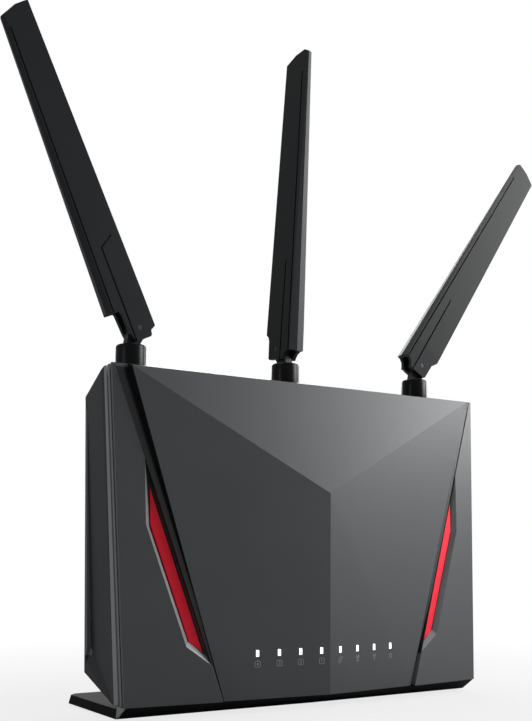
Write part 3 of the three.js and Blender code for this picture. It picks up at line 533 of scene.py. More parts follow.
def to_mesh(name: str, shape: bmesh.types.BMesh, smooth: float | None = None) -> bpy.types.Mesh:
    """Turn a bmesh into a mesh and free it.

    Args:
        name: The mesh's name.
        shape: The bmesh.
        smooth: The angle in degrees under which faces shade smoothly, or None for flat.

    Returns:
        The mesh.
    """
    bmesh.ops.recalc_face_normals(shape, faces=shape.faces)
    mesh = bpy.data.meshes.new(name)
    if smooth is not None:
        for face in shape.faces:
            face.smooth = True
        limit = math.radians(smooth)
        for edge in shape.edges:
            if len(edge.link_faces) == 2 and edge.calc_face_angle(0.0) > limit:
                edge.smooth = False
    shape.to_mesh(mesh)
    shape.free()
    return mesh


def spun(profile: Sequence[Flat], steps: int, closed: bool) -> bmesh.types.BMesh:
    """Turn a profile about the Z axis.

    Args:
        profile: (radius, height) pairs; an open profile starts and ends on the axis.
        steps: Sides of the circle.
        closed: Whether the profile is a loop clear of the axis.

    Returns:
        The turned shape.
    """
    shape = bmesh.new()
    rings = []
    for radius, height in profile:
        if radius < 1e-9:
            rings.append([shape.verts.new((0.0, 0.0, height))] * steps)
            continue
        angles = [2 * math.pi * i / steps for i in range(steps)]
        rings.append([shape.verts.new((radius * math.cos(a), radius * math.sin(a), height)) for a in angles])
    pairs = list(zip(rings, rings[1:] + rings[:1])) if closed else list(zip(rings, rings[1:]))
    for low, high in pairs:
        for i in range(steps):
            j = (i + 1) % steps
            corners = list(dict.fromkeys((low[i], low[j], high[j], high[i])))
            if len(corners) > 2:
                shape.faces.new(corners)
    return shape


def loft(shape: bmesh.types.BMesh, rings: Sequence[Sequence[bmesh.types.BMVert]]) -> None:
    """Skin a run of rings of vertices and close both ends."""
    for near, far in zip(rings, rings[1:]):
        for i in range(len(near)):
            j = (i + 1) % len(near)
            shape.faces.new((near[i], near[j], far[j], far[i]))
    shape.faces.new(rings[0])
    shape.faces.new(rings[-1][::-1])


def settle(name: str, shape: bmesh.types.BMesh, slot: str, finish: Finish) -> None:
    """Make a bmesh a finished piece on the chassis.

    Args:
        name: The piece's name.
        shape: The bmesh, in place.
        slot: The record's material slot that it belongs to.
        finish: Its finish.
    """
    keep(link(name, to_mesh(name, shape)), "chassis", slot, finish)


def surface_of(node: str) -> BVHTree:
    """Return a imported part's surface, to cast rays at."""
    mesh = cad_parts[node].data
    return BVHTree.FromPolygons([v.co for v in mesh.vertices], [tuple(p.vertices) for p in mesh.polygons])


def box_in(shape: bmesh.types.BMesh, low: Point, high: Point, matrix: Matrix | None = None) -> None:
    """Add a box to a bmesh between two corners, moved by a matrix if one is given."""
    size = Vector(high) - Vector(low)
    centre = (Vector(high) + Vector(low)) / 2
    place = (matrix or Matrix()) @ Matrix.Translation(centre) @ Matrix.Diagonal((*size, 1.0))
    bmesh.ops.create_cube(shape, size=1.0, matrix=place)


def softened(node: str, width: float, segments: int = 2, angle: float = 20.0) -> bpy.types.Mesh:
    """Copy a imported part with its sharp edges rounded.

    Args:
        node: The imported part.
        width: The rounding's width in metres.
        segments: Faces across each rounding.
        angle: The angle in degrees past which an edge counts as sharp.

    Returns:
        The rounded mesh.
    """
    shape = bmesh.new()
    shape.from_mesh(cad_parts[node].data)
    bmesh.ops.remove_doubles(shape, verts=shape.verts, dist=2e-6)
    bmesh.ops.dissolve_limit(
        shape, angle_limit=math.radians(0.6), verts=shape.verts, edges=shape.edges, delimit=set()
    )
    piece = link("rounding", to_mesh(node + "_soft", shape, smooth=180))
    bevel = piece.modifiers.new("edges", "BEVEL")
    bevel.width, bevel.segments, bevel.limit_method = width, segments, "ANGLE"
    bevel.angle_limit = math.radians(angle)
    bevel.use_clamp_overlap = True
    even = piece.modifiers.new("normals", "WEIGHTED_NORMAL")
    even.keep_sharp, even.weight = False, 80
    rounded = bpy.data.meshes.new_from_object(piece.evaluated_get(bpy.context.evaluated_depsgraph_get()))
    bpy.data.objects.remove(piece)
    rounded.name = node + "_rounded"
    return rounded


class Repeat:
    """Geometry Nodes trees that set one shape at many places and bake the result."""

    def __init__(self, name: str, unit: bpy.types.Mesh, material: bpy.types.Material) -> None:
        """Keep the shape to repeat.

        Args:
            name: The finished piece's name.
            unit: The shape, about its own origin.
            material: What the copies are made of.
        """
        self.name = name
        self.material = material
        self.unit = link(name + "_unit", unit)

    def _tree(self) -> tuple[bpy.types.NodeTree, Callable[..., bpy.types.Node]]:
        """Start a tree with the shared inputs, and return it with a function that adds nodes."""
        tree = bpy.data.node_groups.new(self.name + " repeat", "GeometryNodeTree")
        tree.interface.new_socket("Geometry", in_out="INPUT", socket_type="NodeSocketGeometry")
        tree.interface.new_socket("Turn", in_out="INPUT", socket_type="NodeSocketRotation")
        tree.interface.new_socket("Geometry", in_out="OUTPUT", socket_type="NodeSocketGeometry")

        def add(kind: str, **links: object) -> bpy.types.Node:
            """Add a node and fill its inputs by name, with _ for a space."""
            node = tree.nodes.new(kind)
            for key, value in links.items():
                socket = node.inputs[key.replace("_", " ")]
                if isinstance(value, bpy.types.NodeSocket):
                    tree.links.new(value, socket)
                else:
                    socket.default_value = value
            return node

        return tree, add

    def _bake(
        self, tree: bpy.types.NodeTree, seats: bpy.types.Mesh, values: dict[str, object]
    ) -> bpy.types.Object:
        """Run a tree on the seats, keep the plain mesh and clear up.

        Args:
            tree: The Geometry Nodes tree.
            seats: The mesh whose points are the places.
            values: The tree's inputs by name.

        Returns:
            The finished piece.
        """
        carrier = link(self.name + "_seats", seats)
        modifier = carrier.modifiers.new("repeat", "NODES")
        modifier.node_group = tree
        named = {item.name: item.identifier for item in tree.interface.items_tree if item.in_out == "INPUT"}
        for key, value in values.items():
            modifier[named[key]] = value
        carrier.update_tag()
        bpy.context.view_layer.update()
        evaluated = carrier.evaluated_get(bpy.context.evaluated_depsgraph_get())
        mesh = bpy.data.meshes.new_from_object(evaluated)
        for used in (carrier, self.unit):
            bpy.data.objects.remove(used)
        mesh.name = self.name
        return link(self.name, mesh)

    def _copies(
        self,
        tree: bpy.types.NodeTree,
        add: Callable[..., bpy.types.Node],
        points: bpy.types.NodeSocket,
        turn: bpy.types.NodeSocket,
    ) -> None:
        """Set the shape on a tree's points, dress the copies and end the tree.

        Args:
            tree: The tree.
            add: The function that adds its nodes.
            points: The points.
            turn: How each copy is turned.
        """
        unit = add("GeometryNodeObjectInfo", Object=self.unit)
        copies = add(
            "GeometryNodeInstanceOnPoints", Points=points, Instance=unit.outputs["Geometry"], Rotation=turn
        )
        real = add("GeometryNodeRealizeInstances", Geometry=copies.outputs["Instances"])
        dressed = add("GeometryNodeSetMaterial", Geometry=real.outputs[0], Material=self.material)
        tree.links.new(dressed.outputs[0], add("NodeGroupOutput").inputs[0])

    def _points(self, places: Sequence[Point]) -> bpy.types.Mesh:
        """Return a mesh with a point at each place."""
        mesh = bpy.data.meshes.new(self.name + "_points")
        mesh.from_pydata([tuple(p) for p in places], [], [])
        return mesh

    def at(self, seats: Sequence[Point], turn: Point = (0, 0, 0)) -> bpy.types.Object:
        """Set the shape at listed places.

        Args:
            seats: The places.
            turn: Euler angles, in radians.

        Returns:
            The finished piece.
        """
        tree, add = self._tree()
        given = tree.nodes.new("NodeGroupInput")
        self._copies(tree, add, given.outputs["Geometry"], given.outputs["Turn"])
        return self._bake(tree, self._points(seats), {"Turn": turn})

    def row(self, starts: Sequence[Point], count: int, step: Point) -> bpy.types.Object:
        """Set the shape in equal rows.

        Args:
            starts: Where each row starts.
            count: Copies in a row.
            step: From one copy to the next.

        Returns:
            The finished piece.
        """
        tree, add = self._tree()
        tree.interface.new_socket("Count", in_out="INPUT", socket_type="NodeSocketInt")
        tree.interface.new_socket("Step", in_out="INPUT", socket_type="NodeSocketVector")
        given = tree.nodes.new("NodeGroupInput")
        line = add("GeometryNodeMeshLine", Count=given.outputs["Count"], Offset=given.outputs["Step"])
        rows = add(
            "GeometryNodeInstanceOnPoints", Points=given.outputs["Geometry"], Instance=line.outputs["Mesh"]
        )
        places = add("GeometryNodeRealizeInstances", Geometry=rows.outputs["Instances"])
        self._copies(tree, add, places.outputs[0], given.outputs["Turn"])
        return self._bake(tree, self._points(starts), {"Count": count, "Step": step})


# ------------------------------------------------------------------ printed marks


def arc(radius: float, start: float, end: float, steps: int = 14, centre: Flat = (0.0, 0.0)) -> list[Flat]:
    """Return points along an arc; angles are in degrees, anticlockwise from the right."""
    angles = [math.radians(start + (end - start) * i / steps) for i in range(steps + 1)]
    return [(centre[0] + radius * math.cos(a), centre[1] + radius * math.sin(a)) for a in angles]


DIGITS: dict[str, list[list[Flat]]] = {
    "1": [[(-0.25, 0.35), (0.05, 0.6), (0.05, -0.6)]],
    "2": [[
        (-0.34, 0.34), (-0.2, 0.56), (0.16, 0.58), (0.32, 0.32), (0.22, 0.02), (-0.36, -0.58), (0.36, -0.58),
    ]],
    "3": [[
        (-0.34, 0.58), (0.32, 0.58), (-0.02, 0.12), (0.3, -0.08), (0.3, -0.42), (0.02, -0.6), (-0.34, -0.48),
    ]],
    "4": [[(0.16, -0.6), (0.16, 0.6), (-0.38, -0.22), (0.38, -0.22)]],
    "5": [[
        (0.32, 0.58), (-0.28, 0.58), (-0.3, 0.08), (0.06, 0.14), (0.32, -0.1), (0.26, -0.5), (-0.34, -0.54),
    ]],
    ".": [[(-0.05, -0.55), (0.05, -0.55)]],
}


class Mark(Enum):
    """The plain symbols printed on the router, as lines in millimetres."""

    PORT_4 = "4"
    PORT_3 = "3"
    PORT_2 = "2"
    PORT_1 = "1"
    NETWORK = "network"
    BAND_LOW = "2.4"
    BAND_HIGH = "5"
    POWER = "power"

    def lines(self) -> list[list[Flat]]:
        """Return the symbol's lines about its centre."""
        if self is Mark.POWER:
            return [arc(1.0, 122, 418, 20), [(0.0, 0.45), (0.0, 1.35)]]
        if self is Mark.NETWORK:
            wings = [arc(1.6, 200, 262, 8), arc(1.6, 30, 88, 8)]
            return [arc(0.95, 20, 330, 18), *wings, [(-0.5, 0.0), (0.5, 0.0)]]
        if self in (Mark.BAND_LOW, Mark.BAND_HIGH):
            mast = [[(0.0, -0.2), (0.0, 0.9)], [(-0.45, -0.2), (0.45, -0.2)]]
            waves = [arc(r, a, b, 8, (0.0, 0.9)) for r in (0.5, 0.95) for a, b in ((-50, 50), (130, 230))]
            return mast + waves + self._digits(self.value, 0.62, (0.0, -1.1))
        frame_line = [
            *arc(0.5, 0, 90, 4, (0.85, 0.85)), *arc(0.5, 90, 180, 4, (-0.85, 0.85)),
            *arc(0.5, 180, 270, 4, (-0.85, -0.85)), *arc(0.5, 270, 360, 4, (0.85, -0.85)), (1.35, 0.85),
        ]
        return [frame_line, *self._digits(self.value, 1.0, (0.0, 0.0))]

    @staticmethod
    def _digits(text: str, scale: float, centre: Flat) -> list[list[Flat]]:
        """Return a number's lines, centred."""
        pitch = 0.82 * scale
        lines = []
        for i, digit in enumerate(text):
            shift = (i - (len(text) - 1) / 2) * pitch + centre[0]
            for line in DIGITS[digit]:
                lines.append([(u * scale + shift, v * scale + centre[1]) for u, v in line])
        return lines


def printed(
    shape: bmesh.types.BMesh,
    lines: Iterable[list[Flat]],
    width: float,
    place: Callable[[float, float, float], Point],
) -> None:
    """Add thin raised lines to a bmesh.

    Args:
        shape: The bmesh to add to.
        lines: The lines, in millimetres about the mark's centre.
        width: The lines' width in millimetres.
        place: Turns (across, up, proud) in millimetres into a point on the surface.
    """
    for line in lines:
        for (u0, v0), (u1, v1) in zip(line, line[1:]):
            along = Vector((u1 - u0, v1 - v0))
            if along.length < 1e-6:
                continue
            along.normalize()
            side = Vector((-along.y, along.x)) * width / 2
            reach = along * width * 0.35
            corners = [
                (u0 - reach.x + side.x, v0 - reach.y + side.y),
                (u0 - reach.x - side.x, v0 - reach.y - side.y),
                (u1 + reach.x - side.x, v1 + reach.y - side.y),
                (u1 + reach.x + side.x, v1 + reach.y + side.y),
            ]
            top = [shape.verts.new(place(u, v, 0.03)) for u, v in corners]
            foot = [shape.verts.new(place(u, v, -0.02)) for u, v in corners]
            loft(shape, [top, foot])


# ------------------------------------------------------------------ sub-assemblies


@dataclass(frozen=True)
class Slope:
    """A size that changes evenly up the front, from one height to another, in millimetres."""

    foot: float
    head: float
    low: float = 5.8
    high: float = 159.1

    def at(self, height: float) -> float:
        """Return the size at a height."""
        return self.foot + (self.head - self.foot) * (height - self.low) / (self.high - self.low)


@dataclass
class FrontPanel:
    """The faceted front with its lights, symbols and red inserts, and channels painted near-black as shade.
    """

    lamp_pitch: float = 11.35
    lamp_centre: float = 1.0
    mark_height: float = 22.0
    line_width: float = 0.17
    marks: tuple[Mark, ...] = tuple(Mark)
    channel: Slope = Slope(56.8, 108.7, high=159.4)  # how far out the wing starts
    flank: Slope = Slope(55.4, 102.1)  # how far out the raised middle ends
    flank_face: Slope = Slope(-43.9, -40.0)
    wing_face: Slope = Slope(-45.6, -35.5)
    groove: Slope = Slope(-39.98, -35.30435)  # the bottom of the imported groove
    floor_span: Flat = (6.3, 158.4)
    floor_steps: int = 24
    floor_gap: float = 0.12
    floor_depth: float = 0.5
    root_heights: tuple[float, ...] = (6.35, 14.0, 22.0)
    recess: tuple[Flat, ...] = ((0.05, 116.9), (9.65, 86.5), (9.15, 31.3), (0.05, 22.5))
    recess_foot: tuple[Flat, ...] = ((0.05, 111.0), (7.5, 85.4), (6.9, 33.6), (0.05, 26.4))
    surface: BVHTree = field(init=False)

    def __post_init__(self) -> None:
        """Keep the panel's surface, to print on."""
        self.surface = surface_of("front_panel")

    def front_at(self, x: float, z: float) -> float:
        """Return the panel's front surface, as a y, at a place in metres."""
        hit = self.surface.ray_cast(Vector((x, AHEAD, z)), BACKWARDS)[0]
        return hit.y if hit else -0.05

    def symbols(self) -> None:
        """Print the row of symbols under the lights."""
        shape = bmesh.new()
        for i, mark in enumerate(self.marks):
            centre = self.lamp_centre + (i - (len(self.marks) - 1) / 2) * self.lamp_pitch

            def place(u: float, v: float, proud: float, centre: float = centre) -> Point:
                """Put a point of this mark on the panel."""
                x, z = (centre + u) * MM, (self.mark_height + v) * MM
                return (x, self.front_at(x, z) - proud * MM, z)

            printed(shape, mark.lines(), self.line_width, place)
        settle("lamp_symbols", shape, "clear_guide", Finish.PRINT)

    def inserts(self) -> None:
        """Round the edges of the two red inserts."""
        for side, finish in (("left", Finish.RED_LEFT), ("right", Finish.RED_RIGHT)):
            node = f"accent_{side}"
            piece = link(f"insert_{side}", softened(node, 0.22 * MM, 3))
            keep(piece, "chassis", "red_insert", finish, node)

    def chamfers(self) -> None:
        """Slope the outer edges of each recess from the wing's face down to the insert, in pale grey as a
        painted highlight.
        """
        shape = bmesh.new()
        for side, name in ((-1, "left"), (1, "right")):
            insert = surface_of(f"accent_{name}")
            rings = []
            for (out, up), (inset, rise) in zip(self.recess, self.recess_foot):
                x, z = side * (self.channel.at(up) + out) * MM, up * MM
                foot_x, foot_z = side * (self.channel.at(rise) + inset) * MM, rise * MM
                face = self.front_at(x + side * 0.5 * MM, z)
                hit = insert.ray_cast(Vector((foot_x + side * 0.4 * MM, AHEAD, foot_z)), BACKWARDS)[0]
                floor = (hit.y if hit else face + 1.9 * MM) - 0.03 * MM
                corners = ((x, face - 0.02 * MM, z), (foot_x, floor, foot_z), (x, floor + 0.1 * MM, z))
                rings.append([shape.verts.new(p) for p in corners])
            loft(shape, rings)
        settle("recess_chamfers", shape, "satin_panel", Finish.CHEEK_AND_HIGHLIGHT)

    def channel_floors(self) -> None:
        """Lay a shallow gloss floor in the channel on each side of the raised middle, near-black as painted
        shade.
        """
        shape = bmesh.new()
        low, high = self.floor_span
        for side in (-1, 1):
            rings = []
            for step in range(self.floor_steps + 1):
                z = low + (high - low) * step / self.floor_steps
                near = self.flank.at(z) + self.floor_gap
                far = self.channel.at(z) - self.floor_gap
                level = max(self.flank_face.at(z) + self.floor_depth, self.wing_face.at(z) + 0.3)
                back = self.groove.at(z) - 0.03
                outline = ((near, level), (far - 0.3, level), (far, level + 0.12), (far, back), (near, back))
                rings.append([shape.verts.new((side * x * MM, y * MM, z * MM)) for x, y in outline])
            loft(shape, rings)
        settle("channel_floors", shape, "satin_panel", Finish.CHANNEL_SHADE)

    def wing_roots(self) -> None:
        """Slope the foot of each wing down to the channel, below the recess."""
        shape = bmesh.new()
        for side in (-1, 1):
            rings = []
            for z in self.root_heights:
                far, wing = self.channel.at(z) - 0.02, self.wing_face.at(z)
                level = self.flank_face.at(z) + self.floor_depth
                outline = (
                    (far - 1.0, level - 0.02), (far - 0.12, wing + 0.1),
                    (far, wing + 0.06), (far, level + 0.3),
                )
                rings.append([shape.verts.new((side * x * MM, y * MM, z * MM)) for x, y in outline])
            loft(shape, rings)
        settle("wing_roots", shape, "satin_panel", Finish.PANEL)

    def build(self) -> None:
        """Make and dress the front."""
        dress("front_panel", Finish.PANEL)
        dress("light_guide", Finish.GUIDE)
        self.symbols()
        self.inserts()
        self.chamfers()
        self.channel_floors()
        self.wing_roots()


@dataclass
class Housing:
    """Middle frame, rear shell and the screws that hold them together."""

    head: float = 2.7
    head_height: float = 1.8
    shank: float = 1.3
    shank_length: float = 6.0
    recess: float = 1.35
    recess_half: float = 0.26
    mark_height: float = 40.0
    line_width: float = 0.22
    socket_marks: tuple[tuple[float, Mark], ...] = (
        (-52.3, Mark.PORT_4), (-38.1, Mark.PORT_3), (-23.9, Mark.PORT_2), (-9.7, Mark.PORT_1),
        (-77.0, Mark.NETWORK), (76.0, Mark.POWER),
    )

    def screw_head(self) -> bpy.types.Mesh:
        """Return a pan head with a cross recess, facing +Z from its seat, with a stub of shank."""
        r, h = self.head * MM, self.head_height * MM
        shank, end = self.shank * MM, -self.shank_length * MM
        profile = [
            (0.0, end), (shank, end), (shank, 0.0), (r, 0.0), (r, h * 0.45), (r * 0.93, h * 0.75),
            (r * 0.74, h * 0.95), (r * 0.5, h), (0.0, h),
        ]
        shape = spun(profile, 32, closed=False)
        blank = link("head_blank", to_mesh("head_blank", shape, smooth=35))
        cross = bmesh.new()
        arm, thin = self.recess * MM, self.recess_half * MM
        box_in(cross, (-arm, -thin, h - 1.0 * MM), (arm, thin, h + 1 * MM))
        box_in(cross, (-thin, -arm, h - 0.95 * MM), (thin, arm, h + 1 * MM))
        cutter = link("head_cutter", to_mesh("head_cutter", cross))
        cut = blank.modifiers.new("recess", "BOOLEAN")
        cut.object, cut.operation, cut.solver = cutter, "DIFFERENCE", "EXACT"
        cut.use_self = True
        graph = bpy.context.evaluated_depsgraph_get()
        mesh = bpy.data.meshes.new_from_object(blank.evaluated_get(graph))
        for used in (blank, cutter):
            bpy.data.objects.remove(used)
        return mesh

    def screws(self) -> None:
        """Set the screws: four through the shell, four in the board, two under the base."""
        back, down = (-math.pi / 2, 0.0, 0.0), (math.pi, 0.0, 0.0)
        groups = (("housing_screw", 4, back), ("board_screw", 4, back), ("stand_screw", 2, down))
        for stem, count, turn in groups:
            nodes = [f"{stem}_{i + 1}" for i in range(count)]
            seats = []
            for node in nodes:
                low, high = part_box(node)
                seat = (low + high) / 2
                if turn == back:
                    seat.y = high.y - self.head_height * MM
                else:
                    seat.z = low.z + self.head_height * MM
                seats.append(tuple(seat))
            repeat = Repeat(f"{stem}s", self.screw_head(), Finish.DARK_STEEL.material())
            keep(repeat.at(seats, turn), "chassis", "dark_steel", Finish.DARK_STEEL, *nodes)

    def rear_marks(self) -> None:
        """Print the symbols over the sockets."""
        shape = bmesh.new()
        for centre, mark in self.socket_marks:

            def place(u: float, v: float, proud: float, centre: float = centre) -> Point:
                """Put a point of this mark on the rear wall."""
                return ((centre - u) * MM, proud * MM, (self.mark_height + v) * MM)

            printed(shape, mark.lines(), self.line_width, place)
        settle("socket_symbols", shape, "clear_guide", Finish.PRINT)

    def build(self) -> None:
        """Make and dress the housing."""
        dress("rear_shell", Finish.SHELL)
        dress("middle_frame", Finish.TRIM)
        self.screws()
        self.rear_marks()


@dataclass
class Stand:
    """The flat base with its slanted front, corner cheeks and feet."""

    foot_radius: float = 6.0
    foot_proud: float = 0.8
    foot_depth: float = 1.1
    ribs: tuple[float, ...] = (1.2, 2.4, 3.6, 4.8)
    cheek: tuple[Point, ...] = (
        (102.75, -39.55, 5.55), (102.85, -31.05, 5.5), (103.35, -31.0, 0.3), (103.0, -31.3, 0.05),
    )
    cheek_proud: float = 0.1
    cheek_depth: float = 0.5

    def cheeks(self) -> None:
        """Add the pale cheek on each front corner of the base."""
        shape = bmesh.new()
        for side in (-1, 1):
            near = [Vector((side * x, y, z)) * MM for x, y, z in self.cheek]
            away = [p + Vector((-side * self.cheek_depth, 0.12, 0.0)) * MM for p in near]
            out = [p + Vector((side * self.cheek_proud, 0.0, 0.0)) * MM for p in near]
            loft(shape, [[shape.verts.new(p) for p in ring] for ring in (out, away)])
        settle("corner_cheeks", shape, "frame_trim", Finish.CHEEK_AND_HIGHLIGHT)

    def feet(self) -> None:
        """Set a ribbed rubber foot in each pocket."""
        r, d = self.foot_radius * MM, self.foot_proud * MM
        profile = [(0.0, -d * 0.75)]
        for radius in self.ribs:
            inner, outer = (radius - 0.5) * MM, (radius + 0.1) * MM
            profile += [(inner, -d * 0.75), (inner + 0.15 * MM, -d)]
            profile += [(outer, -d), (outer + 0.15 * MM, -d * 0.75)]
        profile += [(r - 0.5 * MM, -d * 0.95), (r - 0.12 * MM, -d * 0.7), (r, -d * 0.3)]
        profile += [(r, self.foot_depth * MM), (0.0, self.foot_depth * MM)]
        nodes = [f"foot_{i + 1}" for i in range(4)]
        seats = []
        for node in nodes:
            low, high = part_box(node)
            seats.append(((low.x + high.x) / 2, (low.y + high.y) / 2, 0.0))
        unit = to_mesh("foot", spun(profile, 40, closed=False), smooth=35)
        piece = Repeat("feet", unit, Finish.RUBBER.material()).at(seats)
        keep(piece, "chassis", "rubber", Finish.RUBBER, *nodes)

    def build(self) -> None:
        """Make and dress the base."""
        dress("base_stand", Finish.PLATE)
        self.cheeks()
        self.feet()


@dataclass
class Sockets:
    """The sockets, buttons and contacts of the rear row and the side buttons."""

    jack_centres: tuple[float, ...] = (-52.3, -38.1, -23.9, -9.7, -77.0)
    contact_pitch: float = 1.02
    contact_count: int = 8
    contact_half: float = 0.23
    ceiling: float = 32.8
    usb_centres: tuple[float, ...] = (42.0, 23.5)
    middle: float = 28.0
    usb_height: float = 7.0
    usb_skin: float = 0.7
    tongue_gap: float = 0.6
    tongue_thick: float = 1.8
    pad_pitch: float = 2.2
    pad_count: int = 4
    cap_radius: float = 4.2
    flange_radius: float = 5.2
    stem_radius: float = 2.0

    def contacts(self) -> None:
        """Add the sprung contacts in each network socket and the pads on each USB tongue."""
        shape = bmesh.new()
        half = self.contact_half * MM
        box_in(shape, (-half, -13.5 * MM, -0.5 * MM), (half, -3.4 * MM, -0.22 * MM))
        slant = Matrix.Translation((0.0, -3.6 * MM, -0.4 * MM)) @ Matrix.Rotation(math.radians(-24), 4, "X")
        box_in(shape, (-half, -8.4 * MM, -0.14 * MM), (half, 0.0, 0.14 * MM), slant)
        first = (self.contact_count - 1) / 2 * self.contact_pitch
        starts = [((c - first) * MM, 0.0, self.ceiling * MM) for c in self.jack_centres]
        contact = Repeat("jack_contacts", to_mesh("contact", shape), Finish.GOLD.material())
        step = (self.contact_pitch * MM, 0.0, 0.0)
        keep(contact.row(starts, self.contact_count, step), "chassis", "brass", Finish.GOLD)
        pad = bmesh.new()
        box_in(pad, (-0.5 * MM, -9.0 * MM, -0.06 * MM), (0.5 * MM, -1.6 * MM, 0.05 * MM))
        ends = [e for e in pad.edges if abs(e.verts[0].co.z - e.verts[1].co.z) > 0.05 * MM]
        bmesh.ops.bevel(pad, geom=ends, offset=0.2 * MM, segments=3, affect="EDGES")
        tongue_top = self.middle + self.usb_height / 2 - self.usb_skin - self.tongue_gap
        tongue = (tongue_top - self.tongue_thick) * MM
        first = (self.pad_count - 1) / 2 * self.pad_pitch
        starts = [((c - first) * MM, 0.0, tongue) for c in self.usb_centres]
        pads = Repeat("usb_contacts", to_mesh("pad", pad), Finish.GOLD.material())
        step = (self.pad_pitch * MM, 0.0, 0.0)
        keep(pads.row(starts, self.pad_count, step), "chassis", "brass", Finish.GOLD)

    def button_caps(self) -> None:
        """Turn the round buttons with a dished face."""
        cap, flange, stem = (size * MM for size in (self.cap_radius, self.flange_radius, self.stem_radius))
        for name in ("power_button", "led_button"):
            low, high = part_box(name)
            front, back = high.y, low.y
            profile = [
                (0.0, front - 0.35 * MM), (2.6 * MM, front - 0.3 * MM), (3.5 * MM, front - 0.05 * MM),
                (3.8 * MM, front), (4.05 * MM, front - 0.08 * MM), (cap, front - 0.3 * MM), (cap, -2.5 * MM),
                (flange, -2.5 * MM), (flange, -4.1 * MM), (stem, -4.1 * MM), (stem, back), (0.0, back),
            ]
            shape = spun(profile, 48, closed=False)
            turn = Matrix.Rotation(math.radians(-90), 4, "X")
            centre = Vector(((low.x + high.x) / 2, 0.0, (low.z + high.z) / 2))
            bmesh.ops.transform(shape, matrix=Matrix.Translation(centre) @ turn, verts=shape.verts)
            piece = link(name + "_cap", to_mesh(name + "_cap", shape, smooth=35))
            keep(piece, name, "gloss_black", Finish.GLOSS, name)

    def side_caps(self) -> None:
        """Round the edges of the side buttons."""
        for name in ("wps_button", "wifi_button"):
            piece = link(name + "_cap", softened(name, 0.35 * MM, 3))
            keep(piece, name, "gloss_black", Finish.GLOSS, name)

    def build(self) -> None:
        """Make and dress the sockets and buttons."""
        for node in ("shield_can_left", "shield_can_right"):
            dress(node, Finish.PLATED)
        dress("lan_jack", Finish.JACKS)
        dress("usb3_port", Finish.USB_BLUE)
        dress("usb2_port", Finish.USB_BLACK)
        dress("wan_jack", Finish.BLUE)
        dress("power_inlet", Finish.BLACK)
        dress("reset_plunger", Finish.RED_PLASTIC)
        self.contacts()
        self.button_caps()
        self.side_caps()


@dataclass
class Electronics:
    """The circuit board with its small parts, the heat sink and the antenna leads."""

    back: float = -19.4

    def small_parts(self) -> None:
        """Solder rows of small parts to the back of the board."""
        chip = bmesh.new()
        box_in(chip, (-0.8 * MM, 0.0, -0.4 * MM), (0.8 * MM, 0.75 * MM, 0.4 * MM))
        starts = [(-84 * MM, self.back * MM, z * MM) for z in (58, 63, 70, 77, 84)]
        starts += [(72 * MM, self.back * MM, z * MM) for z in (78, 84, 90, 122, 126)]
        unit = to_mesh("chip", chip)
        piece = Repeat("board_chips", unit, Finish.BLACK.material()).row(starts, 6, (3.1 * MM, 0.0, 0.0))
        keep(piece, "chassis", "black_plastic", Finish.BLACK)
        profile = [
            (0.0, 0.0), (2.9 * MM, 0.0), (3.1 * MM, 0.25 * MM), (2.75 * MM, 0.9 * MM), (3.1 * MM, 1.5 * MM),
            (3.1 * MM, 7.2 * MM), (2.8 * MM, 7.5 * MM), (0.0, 7.5 * MM),
        ]
        can = spun(profile, 28, closed=False)
        bmesh.ops.transform(can, matrix=Matrix.Rotation(math.radians(-90), 4, "X"), verts=can.verts)
        unit = to_mesh("can", can, smooth=30)
        seats = [(x * MM, self.back * MM, z * MM) for x, z in ((68, 52), (77, 52), (-60, 52), (-52, 44))]
        piece = Repeat("board_cans", unit, Finish.ALUMINIUM.material()).at(seats)
        keep(piece, "chassis", "aluminium", Finish.ALUMINIUM)

    def build(self) -> None:
        """Make and dress the electronics."""
        dress("circuit_board", Finish.BOARD)
        dress("heat_sink", Finish.ALUMINIUM)
        for side in ("left", "middle", "right"):
            dress(f"antenna_lead_{side}", Finish.BLACK)
        self.small_parts()


